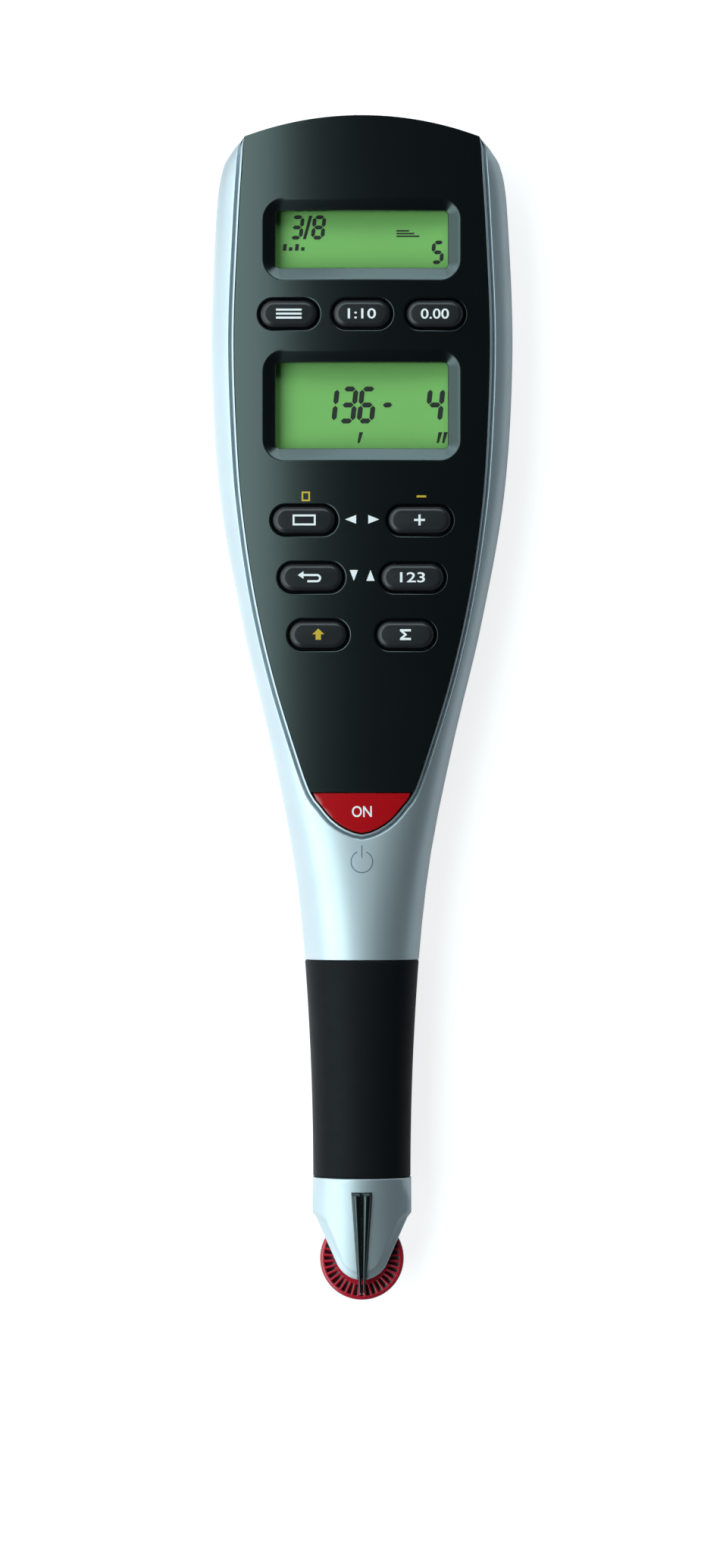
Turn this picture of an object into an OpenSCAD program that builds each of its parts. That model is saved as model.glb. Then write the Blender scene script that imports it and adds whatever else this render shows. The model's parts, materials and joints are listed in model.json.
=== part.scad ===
// Handheld digital plan measurer, lying on its back.
// X runs across, +Y towards the head, +Z out of the face with the displays.
// The origin is under the middle of the whole instrument, on the face it lies on.

/* [Housing] */
// Greatest width of the head across its side rails
head_w = 47.3; // [46:0.1:52]
// Depth of the head from its back to the crown of the faceplate
head_depth = 16; // [15.6:0.1:18]
// Length of the housing from its top end to the grip
head_len = 128.7; // [124:0.1:140]
// Width of the neck where it meets the grip
neck_w = 17.9; // [17:0.1:20]
// Depth of the neck where it meets the grip
neck_depth = 14.8; // [14.2:0.1:15.6]
// Length over which the neck swells to the full depth of the head
swell_len = 40; // [30:1:60]
// Thickness of the side walls
side_wall = 1.8; // [1.4:0.1:2.2]
// Thickness of the front shell beside the faceplate
front_wall = 2.6; // [2.3:0.1:3]
// Thickness of the back
rear_wall = 2.2; // [2:0.1:2.6]

/* [Faceplate] */
// Greatest width of the faceplate
face_w = 39.9; // [38:0.1:40.4]
// Length of the faceplate and the red key below the top end of the housing
face_len = 109; // [106:0.1:112]
// How far the top edge of the faceplate bows out past the housing
crown_rise = 3.2; // [2:0.1:5]
// Radius of the crown across the faceplate
crown_radius = 105; // [95:1:140]
// Wall of the faceplate
face_wall = 1.8; // [1.4:0.1:2]
// Width of the flat rim under the faceplate
rim_w = 2; // [1.6:0.1:2.2]
// Depth of the ledge below the crown
ledge_drop = 3.1; // [3:0.05:3.4]
// Width of the ledge that carries the faceplate
ledge_w = 1.6; // [1.2:0.1:2]
// Gap between the faceplate and the housing
face_fit = 0.1; // [0.05:0.01:0.2]
// Silver lip between the faceplate and the groove
groove_gap = 0.6; // [0.4:0.1:1]
// Width of the groove
groove_w = 0.65; // [0.4:0.05:1]
// Depth of the groove below the line of the crown
groove_depth = 0.75; // [0.5:0.05:1]
// Length of the red key below its seam with the faceplate
on_key_len = 6.5; // [5.5:0.1:8]

/* [Windows] */
// Width of the display openings
window_w = 26.9; // [24:0.1:27.6]
// Height of the upper display opening
upper_window_h = 8.85; // [7:0.05:9.2]
// Height of the lower display opening
lower_window_h = 13.35; // [10:0.05:13.8]
// Width of the sloping bevel round each opening
window_bevel = 2.1; // [1.5:0.1:2.2]
// Distance of the middle of the upper opening from the top end
upper_window_from_top = 16.1; // [15.6:0.1:16.6]
// Distance of the middle of the lower opening from the top end
lower_window_from_top = 42.05; // [41.6:0.05:42.6]
// Thickness of the window panes
lens_t = 1; // [0.6:0.1:1.2]
// Thickness of the display cells
display_t = 1.6; // [1.2:0.1:1.8]

/* [Keys] */
// Height of a key cap across its short side
key_h = 4.2; // [3.6:0.1:4.4]
// Gap round a key cap
key_gap = 0.3; // [0.2:0.05:0.4]
// How far the key caps stand above the faceplate
key_rise = 0.7; // [0.4:0.1:1.2]
// Travel of the keys
key_travel = 0.7; // [0.4:0.1:0.9]
// Width of the flange that keeps a key in its hole
key_flange = 0.6; // [0.4:0.1:0.7]
// Width of the keys in the top row
top_key_w = 8.9; // [8:0.1:9.2]
// Spacing of the keys in the top row
top_key_pitch = 11.4; // [11:0.1:11.6]
// Distance of the top row from the top end
top_row_from_top = 27.8; // [27.6:0.1:28.2]
// Width of the paired keys
pair_key_w = 9.8; // [8.6:0.1:10]
// Width of the last pair of keys
last_key_w = 8.95; // [8:0.05:9.2]
// Distance of the first pair of keys from the middle line
pair_key_x = 9; // [8.8:0.1:9.2]
// How far each next pair moves in towards the middle line
pair_key_step = 1.1; // [1:0.05:1.15]
// Distance of the first pair of keys from the top end
pair_row_from_top = 60; // [59.8:0.1:60.6]
// Spacing of the rows of paired keys
pair_row_pitch = 8.95; // [8.6:0.05:9.1]
// Travel of the red key
on_key_travel = 0.5; // [0.3:0.1:0.6]
// Gap round the red key
on_key_gap = 0.15; // [0.1:0.01:0.25]

/* [Electronics] */
// Thickness of the main board
board_t = 1; // [0.8:0.1:1.2]
// Distance of the board's edge inside the outline of the faceplate
board_inset = 2; // [1.8:0.1:2.4]
// Thickness of the silicone under the keys
keypad_t = 0.6; // [0.4:0.1:0.8]
// Diameter of the coin cells
cell_d = 20; // [19:0.1:20.4]
// Thickness of a coin cell
cell_t = 1.6; // [1.2:0.1:2]
// Distance of the upper cell from the top end
cell_from_top = 14.5; // [14.2:0.1:15.5]
// Spacing of the two cells
cell_pitch = 22; // [21.5:0.1:24]
// Width of the flat cable to the nose
flex_w = 4; // [3:0.1:4.2]
// Thickness of the flat cable
flex_t = 0.2; // [0.1:0.05:0.3]

/* [Battery door] */
// Thickness of the battery door
door_t = 1.25; // [1.1:0.05:1.3]
// How far the tongues on the door's long edges reach out
door_tongue = 0.8; // [0.5:0.1:1]
// How far the door lies inside the back
door_recess = 0.25; // [0.15:0.05:0.3]
// Gap round the door
door_fit = 0.1; // [0.08:0.01:0.15]

/* [Screws] */
// Diameter of the screws that close the case
case_screw_d = 1.6; // [1.4:0.1:1.8]
// Diameter of the bosses for the case screws
case_boss_d = 4; // [3.8:0.1:4.2]
// Diameter of the screws that hold the board
board_screw_d = 1.4; // [1.2:0.1:1.6]
// Diameter of the screws that close the nose
nose_screw_d = 1.4; // [1.2:0.1:1.6]
// Gap between a screw and its hole
screw_fit = 0.03; // [0.01:0.01:0.06]

/* [Grip] */
// Length of the rubber grip
grip_len = 34.2; // [28:0.1:45]
// Width of the grip where it meets the nose
grip_end_w = 15.3; // [14.8:0.1:17]
// Depth of the grip where it meets the nose
grip_end_depth = 13.2; // [12.8:0.1:14.4]
// Diameter of the tube under the grip
spigot_d = 11.2; // [10.8:0.1:11.8]
// Bore of the tube under the grip
spigot_bore = 8.6; // [8.2:0.1:9]
// Gap between the grip and the tube
sleeve_fit = 0.05; // [0.02:0.01:0.1]

/* [Nose] */
// Length of the nose from the grip to its tip
nose_len = 16; // [15.6:0.1:18]
// Width of the nose
nose_w = 15.5; // [14.6:0.1:16.5]
// Depth of the nose where it meets the grip
nose_depth = 12.8; // [12.4:0.1:14]
// Depth of the nose at its tip
nose_tip_depth = 6.8; // [6.4:0.1:8]
// Length of the straight sides of the nose
nose_straight = 5.4; // [4.8:0.1:5.8]
// Width of the shoulder where the straight sides step in
nose_shoulder = 0.62; // [0.3:0.02:1]
// Radius of the round tip of the nose
nose_tip_r = 4.3; // [3.8:0.1:4.8]
// Length of the plug that holds the nose in the tube
plug_len = 5; // [4:0.1:8]

/* [Wheel] */
// Diameter of the measuring wheel
wheel_d = 13.16; // [12.8:0.02:13.4]
// Thickness of the measuring wheel
wheel_t = 2; // [1.6:0.1:2.2]
// How far the wheel reaches past the nose
wheel_out = 3.3; // [2.9:0.05:3.6]
// Gap between the wheel and the nose
wheel_gap = 0.4; // [0.3:0.05:0.5]
// Number of ribs on the wheel
rib_count = 36; // [24:1:48]
// Width of a rib
rib_w = 0.34; // [0.25:0.01:0.4]
// Depth of the pockets between the ribs
pocket_depth = 0.55; // [0.3:0.05:0.7]
// Width of the plain rim of the wheel
wheel_rim = 0.65; // [0.4:0.05:1]
// Radial length of the pockets
pocket_len = 1.7; // [1.4:0.05:1.9]
// Diameter of the axle
axle_d = 1.5; // [1.2:0.05:1.8]
// Running clearance of the wheel on its axle
axle_fit = 0.05; // [0.02:0.01:0.08]

/* [Pointer] */
// Width of the pointer at its upper end
pointer_w = 3.1; // [2.6:0.1:3.6]
// Width of the pointer at its tip
pointer_tip_w = 0.86; // [0.6:0.02:1.2]
// Distance of the pointer's upper end from the grip
pointer_from_grip = 2.3; // [1.6:0.1:3]
// How far the pointer reaches past the nose
pointer_out = 2.3; // [1.6:0.1:2.8]
// Depth of the recess for the pointer
pointer_recess = 0.6; // [0.4:0.05:0.7]
// How far the pointer stands above the nose
pointer_rise = 0.7; // [0.4:0.05:1]

/* [Hidden] */
$fn = 48;

// How far a cut runs past the face it opens
past = 1;
// Small gap between parts that only rest on each other
rest_gap = 0.05;

// Places along the instrument, from the wheel up to the top end
total_len = crown_rise + head_len + grip_len + nose_len + wheel_out;
bottom_y = -total_len / 2;
nose_tip_y = bottom_y + wheel_out;
grip_end_y = nose_tip_y + nose_len;
neck_y = grip_end_y + grip_len;
top_y = neck_y + head_len;
wheel_y = bottom_y + wheel_d / 2;
seam_y = top_y - face_len + on_key_len;

// Levels, from the back up to the crown
mid_z = head_depth / 2;
crown_z = head_depth;
ledge_z = crown_z - ledge_drop;
floor_z = rear_wall;
encoder_board_t = 0.8;
board_end_room = 0.6;
board_z = mid_z - encoder_board_t / 2;
board_top = board_z + board_t;
lens_z = ledge_z - rest_gap - lens_t;
display_z = lens_z - rest_gap - display_t;
keypad_top = board_top + keypad_t;

// Housing section: round at the neck, squarer at the head
neck_squareness = 2.2;
head_squareness = 3.2;
// Further squareness of the front half at the closed end of the head, and how far it reaches back
end_squareness = 8.8;
end_reach = 0.36;
back_flatness = 0.5;
section_steps = 18;
curve_steps = 3;
corner_steps = 6;

// Side of the housing: share of its length, share of its swell
housing_shape = [
    [0, 0], [0.13, 0.13], [0.27, 0.38], [0.41, 0.67], [0.57, 0.915],
    [0.74, 1], [0.895, 0.952], [0.957, 0.89], [0.984, 0.772], [1, 0.643]
];

// Side of the faceplate: share of its half width, share of its length
face_shape = [
    [0, 0], [0.085, 0.004], [0.17, 0.012], [0.25, 0.024], [0.326, 0.041], [0.4, 0.06],
    [0.496, 0.109], [0.677, 0.217], [0.817, 0.326], [0.912, 0.435], [0.969, 0.543],
    [1, 0.706], [0.967, 0.867], [0.922, 1]
];
top_arc_steps = 12;
// Ledge under the faceplate in front of the housing's end wall
end_ledge = 0.3;

// Window corners
window_corner = 0.6;
bevel_corner = 3.5;
window_sill = 0.6;
window_floor_z = ledge_z + window_sill;
window_frame = 0.6;
upper_window_y = top_y - upper_window_from_top;
lower_window_y = top_y - lower_window_from_top;

// Keys
flange_t = 0.8;
flange_room = 0.15;
on_key_root = 1;
plunger_d = 2.8;
plunger_room = 0.5;
plunger_gap = 0.2;
top_row_y = top_y - top_row_from_top;
pair_row_y = [for (i = [0:2]) top_y - pair_row_from_top - i * pair_row_pitch];
pair_x = [for (i = [0:2]) pair_key_x - i * pair_key_step];
pair_w = [pair_key_w, pair_key_w, last_key_w];
on_key_z = ledge_z + on_key_travel + plunger_gap;
power_switch_drop = 1.8;
power_switch_y = seam_y - power_switch_drop;
power_switch_h = 2.3;
power_switch_w = 4.4;

// Screws
screw_head_h = 0.9;
screw_head_rim = 0.65;
screw_boss_wall = 0.9;
screw_roof = 1.1;
case_head_d = case_screw_d + 2 * screw_head_rim;
case_seat_rise = 0.8;
case_seat_z = floor_z + case_seat_rise;
case_screw_tip = ledge_z - screw_roof;
case_boss_roof = 0.4;
case_boss_top = ledge_z - case_boss_roof;
case_boss_room = 0.3;
top_screw_x = 16.9;
top_screw_drop = 5.5;
low_screw_x = 12.8;
low_screw_rise = 18;
neck_screw_x = 4.6;
neck_screw_rise = 9.2;
case_screw_places = [
    for (p = [
        [top_screw_x, top_y - top_screw_drop],
        [low_screw_x, seam_y + low_screw_rise],
        [neck_screw_x, neck_y + neck_screw_rise]
    ]) for (side = [-1, 1]) [side * p[0], p[1]]
];
board_head_d = board_screw_d + 2 * screw_head_rim;
board_boss_d = board_screw_d + 2 * screw_boss_wall;
board_screw_tip = ledge_z - screw_roof;
board_top_screw_x = 7;
board_top_screw_drop = 5.2;
board_mid_screw_x = 14;
board_mid_screw_rise = 5.5;
board_low_screw_rise = 16;
board_screw_places = concat(
    [for (side = [-1, 1]) [side * board_top_screw_x, top_y - board_top_screw_drop]],
    [for (side = [-1, 1]) [side * board_mid_screw_x, pair_row_y[0] + board_mid_screw_rise]],
    [[0, seam_y + board_low_screw_rise]]
);

// Battery bay
tray_fit = 0.02;
cell_room = 0.1;
tray_wall = 1.9;
tray_w = cell_d + 2 * cell_room + 2 * tray_wall;
cell_y = [top_y - cell_from_top, top_y - cell_from_top - cell_pitch];
tray_end = 1.2;
tray_top_y = cell_y[0] + cell_d / 2 + cell_room + tray_end;
tray_low_y = cell_y[1] - cell_d / 2 - cell_room - tray_end;
cell_z = floor_z + cell_room;
contact_t = 0.2;
contact_w = 4;
contact_len = 12;
contact_pin = 0.8;
tray_roof = 1;
contact_z = cell_z + cell_t + rest_gap;
pocket_z = contact_z + contact_t + rest_gap;
tray_top_z = pocket_z + tray_roof;
hatch_w = cell_d + 2 * cell_room;
hatch_low_y = tray_low_y + tray_end;
hatch_len = tray_top_y - tray_low_y - 2 * tray_end;
door_lip = 0.6;
door_w = hatch_w + 2 * door_lip;
door_overlap = 3;
door_low_y = hatch_low_y - door_overlap;
tongue_z = door_recess + door_t / 2;

// Nose and encoder
nose_squareness = 3.4;
nose_slope = atan((nose_depth - nose_tip_depth) / 2 / nose_len);
slot_top_y = wheel_y + wheel_d / 2 + wheel_gap;
slot_h = wheel_t + 2 * wheel_gap;
plug_fit = 0.05;
plug_bore_room = 0.4;
plug_bore = flex_w + 2 * plug_bore_room;
axle_seat = 1.5;
hub_wall = 1;
hub_room = 0.1;
axle_len = slot_h + 2 * axle_seat;
axle_seat_fit = 0.01;
cavity_room = 0.3;
cavity_w = flex_w + 2 * cavity_room;
optic_w = 3;
optic_reach = 2.9;
optic_gap = 0.4;
optic_t = 1.3;
optic_foot = 2;
optic_room = 0.4;
encoder_low_y = slot_top_y + optic_room / 2;
optic_low_y = wheel_y + wheel_d / 2 - optic_reach;
cavity_low_y = optic_low_y - optic_room;
cavity_h = wheel_t + 2 * (optic_gap + optic_t + optic_room);
encoder_len = 12.8;
encoder_room = 0.1;
flex_lap = 1;
nose_screw_x = 5.3;
nose_screw_drop = 2.8;
nose_screw_y = grip_end_y - nose_screw_drop;
nose_head_d = nose_screw_d + 2 * screw_head_rim;
nose_seat_drop = 3.6;
nose_seat_z = mid_z - nose_seat_drop;
nose_screw_rise = 3.4;
nose_screw_tip = mid_z + nose_screw_rise;
pointer_split_w = 0.2;

function lerp(a, b, t) = a + (b - a) * t;
function smooth(t) = let (u = max(0, min(1, t))) u * u * (3 - 2 * u);

// Smooth curve through a list of points, with a guide point before and after,
// and with its own number of steps in the last two stretches
function curve_point(a, b, c, d, t) =
    0.5 * (2 * b + (c - a) * t + (2 * a - 5 * b + 4 * c - d) * t * t
        + (3 * b - a - 3 * c + d) * t * t * t);
function curve(points, before, after, end_steps) =
    let (all = concat([before], points, [after]), last = len(points) - 1)
    concat(
        [for (i = [1:last]) let (steps = i > last - 2 ? end_steps : curve_steps) for (s = [0:steps - 1])
            curve_point(all[i - 1], all[i], all[i + 1], all[i + 2], s / steps)],
        [points[last]]
    );
function run_on(points) = let (last = len(points) - 1) 2 * points[last] - points[last - 1];

// Half widths of the housing, as pairs of half width and place
housing_side = [
    for (p = curve(housing_shape, [-0.13, -0.06], run_on(housing_shape), corner_steps))
        [lerp(neck_w, head_w, p[1]) / 2, neck_y + p[0] * head_len]
];
housing_top_w = 2 * housing_side[len(housing_side) - 1][0];

// Right-hand side of the faceplate, from the point of the red key up to the top corner
face_side = [
    for (p = curve(face_shape, [-face_shape[1][0], face_shape[1][1]], run_on(face_shape), curve_steps))
        [p[0] * face_w / 2, top_y - face_len + p[1] * face_len]
];
face_top_w = face_side[len(face_side) - 1][0];
top_arc_r = (face_top_w * face_top_w + crown_rise * crown_rise) / (2 * crown_rise);
top_arc_angle = asin(face_top_w / top_arc_r);

// Height of the crown at a distance from the middle line, less a drop
function crown_at(x, drop) = crown_z - crown_radius + sqrt(pow(crown_radius - drop, 2) - x * x);

// Section of the housing and the grip
function swell(y) = smooth((y - neck_y) / swell_len);
function half_depth(y) = lerp(neck_depth, head_depth, swell(y)) / 2;
function squareness(y, side) =
    lerp(neck_squareness, head_squareness, swell(y))
    + (side > 0 ? end_squareness * end_reach / (abs(top_y - y) + end_reach) : 0);
function round_point(w, d, n, a) =
    [w * sign(cos(a)) * pow(abs(cos(a)), 2 / n), d * sign(sin(a)) * pow(abs(sin(a)), 2 / n)];

// Arc of a shell section in the half towards side, limited in depth
function shell_arc(w, d, n, y, side, limit) = [
    for (i = [0:section_steps])
        let (p = round_point(w, d, n, 180 * i / section_steps))
        [p[0], y, mid_z + side * min(p[1], limit)]
];
function backwards(list) = [for (i = [len(list) - 1:-1:0]) list[i]];
function shell_ring(w, y, side) =
    let (
        n = squareness(y, side),
        d = half_depth(y) + (side < 0 ? back_flatness * swell(y) : 0),
        wall = side < 0 ? rear_wall : front_wall,
        limit = side < 0 ? mid_z - floor_z : mid_z
    )
    concat(
        shell_arc(w, d, n, y, side, mid_z),
        backwards(shell_arc(w - side_wall, d - wall, n, y, side, limit))
    );

// Solid skinned over rings of points that follow each other along +Y
module skin(rings, flip) {
    n = len(rings[0]);
    last = len(rings) - 1;
    sides = [
        for (i = [0:last - 1]) for (j = [0:n - 1])
            let (k = (j + 1) % n)
            each [[i * n + j, i * n + k, i * n + n + k], [i * n + j, i * n + n + k, i * n + n + j]]
    ];
    // Each end is a strip of triangles between the two halves of its ring
    strip = [
        for (j = [0:n / 2 - 2])
            each [[j, j + 1, n - 2 - j], [j, n - 2 - j, n - 1 - j]]
    ];
    low_end = [for (f = strip) backwards(f)];
    high_end = [for (f = strip) [for (v = f) last * n + v]];
    faces = concat(sides, low_end, high_end);
    polyhedron(
        points = [for (r = rings) each r],
        faces = flip ? [for (f = faces) backwards(f)] : faces
    );
}

module half_shell(side) {
    skin([for (p = housing_side) shell_ring(p[0], p[1], side)], side < 0);
}

// Plate across the inside of a half shell, from y towards +Y
module end_wall(w, y, thick, side) {
    inside = 0.5;
    d = half_depth(y) - inside;
    arc = [
        for (i = [0:section_steps])
            round_point(w / 2 - inside, d, squareness(y, side), 180 * i / section_steps)
    ];
    translate([0, y + thick, mid_z]) rotate([90, 0, 0]) linear_extrude(thick)
        polygon([for (p = arc) [p[0], side * p[1]]]);
}

// Rod along Y
module rod(d, low, high) {
    translate([0, high, mid_z]) rotate([90, 0, 0]) cylinder(d = d, h = high - low);
}

// Bar along Y with the rounded section of the housing, one squareness above and one below
module round_bar(w, d, upper, lower, low, high) {
    corners = 2 * section_steps;
    translate([0, high, mid_z]) rotate([90, 0, 0]) linear_extrude(high - low)
        polygon([
            for (i = [0:corners - 1])
                round_point(w / 2, d / 2, i < section_steps ? upper : lower, 360 * i / corners)
        ]);
}

// Upright rod
module post(x, y, d, low, high) {
    translate([x, y, low]) cylinder(d = d, h = high - low);
}

// Block between two corners
module block(low, high) {
    translate(low) cube(high - low);
}

// Half of space on one side of the split between front and rear
module half_space(side) {
    reach = 2 * total_len;
    translate([-reach / 2, -reach / 2, side > 0 ? mid_z : mid_z - reach]) cube(reach);
}

// Tube under the grip, one half
module half_spigot(side) {
    intersection() {
        rod(spigot_d, grip_end_y + rest_gap, neck_y + side_wall);
        half_space(side);
    }
}

// Outline of the faceplate and the red key together
module face_plan() {
    arc = [
        for (i = [1:top_arc_steps - 1])
            let (a = lerp(top_arc_angle, -top_arc_angle, i / top_arc_steps))
            [top_arc_r * sin(a), top_y + crown_rise - top_arc_r + top_arc_r * cos(a)]
    ];
    left = [for (i = [len(face_side) - 1:-1:1]) [-face_side[i][0], face_side[i][1]]];
    polygon(concat(face_side, arc, left));
}

// Outline of the faceplate, drawn in by inset
module plate_plan(inset) {
    difference() {
        offset(delta = -inset) face_plan();
        translate([-head_w, seam_y - total_len]) square([2 * head_w, total_len + inset]);
    }
}

// Body under the crown of the faceplate, lowered by drop
module under_crown(drop) {
    translate([0, 0, crown_z - crown_radius]) rotate([90, 0, 0])
        cylinder(r = crown_radius - drop, h = 2 * total_len, center = true, $fn = 160);
}

// Upright block with round ends
module stadium(w, d, low, high) {
    translate([-(w - d) / 2, -d / 2, low]) cube([w - d, d, high - low]);
    for (side = [-1, 1]) post(side * (w - d) / 2, 0, d, low, high);
}

// Upright block with rounded corners
module rounded_block(w, d, r, low, high) {
    translate([-w / 2, -d / 2 + r, low]) cube([w, d - 2 * r, high - low]);
    translate([-w / 2 + r, -d / 2, low]) cube([w - 2 * r, d, high - low]);
    for (x = [-1, 1]) for (y = [-1, 1])
        post(x * (w / 2 - r), y * (d / 2 - r), 2 * r, low, high);
}

// Opening with sloping sides for one display
module window_cut(h) {
    edge_z = crown_at(window_w / 2 + window_bevel, 0);
    sliver = 0.01;
    rounded_block(window_w, h, window_corner, ledge_z - past, window_floor_z + sliver);
    hull() {
        rounded_block(window_w, h, window_corner, window_floor_z, window_floor_z + sliver, $fn = 24);
        rounded_block(window_w + 2 * window_bevel, h + 2 * window_bevel, bevel_corner,
            edge_z, crown_z + past, $fn = 32);
    }
}

// Frame that carries a window down to the level of the ledge
module window_block(h) {
    grow = 2 * (window_bevel + window_frame);
    rounded_block(window_w + grow, h + grow, bevel_corner + window_frame, ledge_z, crown_z);
}

// Places of the nine keys: x, y and cap width
key_places = concat(
    [for (i = [-1:1]) [i * top_key_pitch, top_row_y, top_key_w]],
    [for (i = [0:2]) for (side = [-1, 1]) [side * pair_x[i], pair_row_y[i], pair_w[i]]]
);

// Key cap with its retaining flange and the plunger that presses the board
module key(number) {
    p = key_places[number];
    reach = abs(p[0]) + p[2] / 2 + key_gap + key_flange;
    grow = 2 * (key_gap + key_flange);
    flange_top = crown_at(reach, face_wall) - flange_room;
    translate([p[0], p[1], 0]) {
        stadium(p[2], key_h, flange_top - flange_t, crown_at(p[0], 0) + key_rise);
        stadium(p[2] + grow, key_h + grow, flange_top - flange_t, flange_top);
        post(0, 0, plunger_d, board_top + key_travel + plunger_gap, flange_top);
    }
}

// Screw with a cross recess, its head at the bottom
module screw(d, head_d, seat, tip) {
    recess = 0.5;
    difference() {
        union() {
            post(0, 0, d, seat, tip);
            post(0, 0, head_d, seat - screw_head_h, seat);
        }
        for (turn = [0, 90]) rotate(turn)
            translate([-head_d / 3, -d / 8, seat - screw_head_h - past])
                cube([head_d / 1.5, d / 4, past + recess]);
    }
}

module front_housing() color("silver") {
    difference() {
        union() {
            half_shell(1);
            end_wall(housing_top_w, top_y - side_wall, side_wall, 1);
            end_wall(neck_w, neck_y, side_wall, 1);
            half_spigot(1);
            for (p = case_screw_places) post(p[0], p[1], case_boss_d, mid_z, case_boss_top);
        }
        // Recess and opening for the faceplate
        translate([0, 0, ledge_z]) linear_extrude(ledge_drop + past)
            offset(delta = face_fit) face_plan();
        translate([0, 0, mid_z + side_wall]) linear_extrude(crown_z) intersection() {
            offset(delta = -ledge_w) face_plan();
            translate([-head_w / 2, top_y - side_wall - end_ledge - face_len])
                square([head_w, face_len]);
        }
        // Groove round the faceplate
        difference() {
            translate([0, 0, mid_z]) linear_extrude(crown_z) difference() {
                offset(delta = groove_gap + groove_w) face_plan();
                offset(delta = groove_gap) face_plan();
            }
            under_crown(groove_depth);
        }
        // Bore for the cable and holes for the screws
        rod(spigot_bore, grip_end_y - past, neck_y + side_wall + past);
        for (p = case_screw_places)
            post(p[0], p[1], case_screw_d + 2 * screw_fit, mid_z - past, case_screw_tip + rest_gap);
    }
}

module rear_housing() color("lightgray") {
    difference() {
        union() {
            half_shell(-1);
            end_wall(housing_top_w, top_y - side_wall, side_wall, -1);
            end_wall(neck_w, neck_y, side_wall, -1);
            half_spigot(-1);
            for (p = case_screw_places) post(p[0], p[1], case_boss_d, floor_z, mid_z);
        }
        rod(spigot_bore, grip_end_y - past, neck_y + side_wall + past);
        for (p = case_screw_places) {
            post(p[0], p[1], case_screw_d + 2 * screw_fit, floor_z, mid_z + past);
            post(p[0], p[1], case_head_d + 2 * rest_gap, -past, case_seat_z);
        }
        // Way for the battery door, with a groove for its tongues
        half_w = door_w / 2 + door_fit;
        low_y = door_low_y - door_fit;
        block([-half_w, low_y, -past], [half_w, top_y + past, tongue_z]);
        block([-half_w - door_tongue, low_y, tongue_z - door_fit],
            [half_w + door_tongue, top_y + past, door_recess + door_t + door_fit]);
        // Hatch to the cells
        block([-hatch_w / 2, hatch_low_y, 0], [hatch_w / 2, hatch_low_y + hatch_len, floor_z + rest_gap]);
    }
}

module faceplate() color([0.06, 0.07, 0.08]) {
    difference() {
        union() {
            intersection() {
                union() {
                    difference() {
                        translate([0, 0, ledge_z]) linear_extrude(ledge_drop) plate_plan(0);
                        intersection() {
                            translate([0, 0, ledge_z - past]) linear_extrude(ledge_drop + past)
                                plate_plan(rim_w);
                            under_crown(face_wall);
                        }
                    }
                    translate([0, upper_window_y, 0]) window_block(upper_window_h);
                    translate([0, lower_window_y, 0]) window_block(lower_window_h);
                    // Black end that closes the top of the housing
                    intersection() {
                        translate([0, 0, floor_z + rest_gap]) linear_extrude(crown_z) intersection() {
                            face_plan();
                            translate([-head_w / 2, top_y + face_fit]) square([head_w, head_w]);
                        }
                        round_bar(2 * face_top_w, head_depth, squareness(top_y, 1), squareness(top_y, -1),
                            top_y, top_y + 2 * crown_rise);
                    }
                }
                under_crown(0);
            }
            for (p = board_screw_places)
                post(p[0], p[1], board_boss_d, board_top, crown_at(p[0], face_wall) + face_wall / 2);
        }
        translate([0, upper_window_y, 0]) window_cut(upper_window_h);
        translate([0, lower_window_y, 0]) window_cut(lower_window_h);
        for (p = key_places)
            translate([p[0], p[1], 0])
                stadium(p[2] + 2 * key_gap, key_h + 2 * key_gap, ledge_z - past, crown_z + past);
        for (p = board_screw_places)
            post(p[0], p[1], board_screw_d + 2 * screw_fit, board_top - past, board_screw_tip + rest_gap);
    }
}

// Pane or display that lies under a window frame
module window_sheet(h, y, low, thick) {
    grow = 2 * (window_bevel + window_frame / 2);
    translate([0, y, 0]) rounded_block(window_w + grow, h + grow, window_corner, low, low + thick);
}

module upper_lens() color([0.8, 0.9, 0.9, 0.4])
    window_sheet(upper_window_h, upper_window_y, lens_z, lens_t);

module lower_lens() color([0.8, 0.9, 0.9, 0.4])
    window_sheet(lower_window_h, lower_window_y, lens_z, lens_t);

module upper_display() color([0.42, 0.69, 0.38])
    window_sheet(upper_window_h, upper_window_y, display_z, display_t);

module lower_display() color([0.47, 0.74, 0.43])
    window_sheet(lower_window_h, lower_window_y, display_z, display_t);

// Two elastomer strips between the board and the long edges of a display
module connector_strips(h, y) {
    strip_w = 1.2;
    edge = h / 2 + window_bevel - strip_w;
    half_w = window_w / 2;
    for (side = [-1, 1]) translate([0, y + side * edge, 0])
        block([-half_w, -strip_w / 2, board_top], [half_w, strip_w / 2, display_z - rest_gap]);
}

module upper_connector() color("dimgray") connector_strips(upper_window_h, upper_window_y);

module lower_connector() color("dimgray") connector_strips(lower_window_h, lower_window_y);

module main_board() color("darkgreen") {
    board_top_y = top_y - side_wall - board_end_room;
    difference() {
        translate([0, 0, board_z]) linear_extrude(board_t) intersection() {
            offset(delta = -board_inset) face_plan();
            translate([-head_w / 2, board_top_y - face_len]) square([head_w, face_len]);
        }
        for (p = case_screw_places)
            post(p[0], p[1], case_boss_d + 2 * case_boss_room, board_z - past, board_top + past);
        for (p = board_screw_places)
            post(p[0], p[1], board_screw_d + 2 * screw_fit, board_z - past, board_top + past);
    }
}

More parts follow.
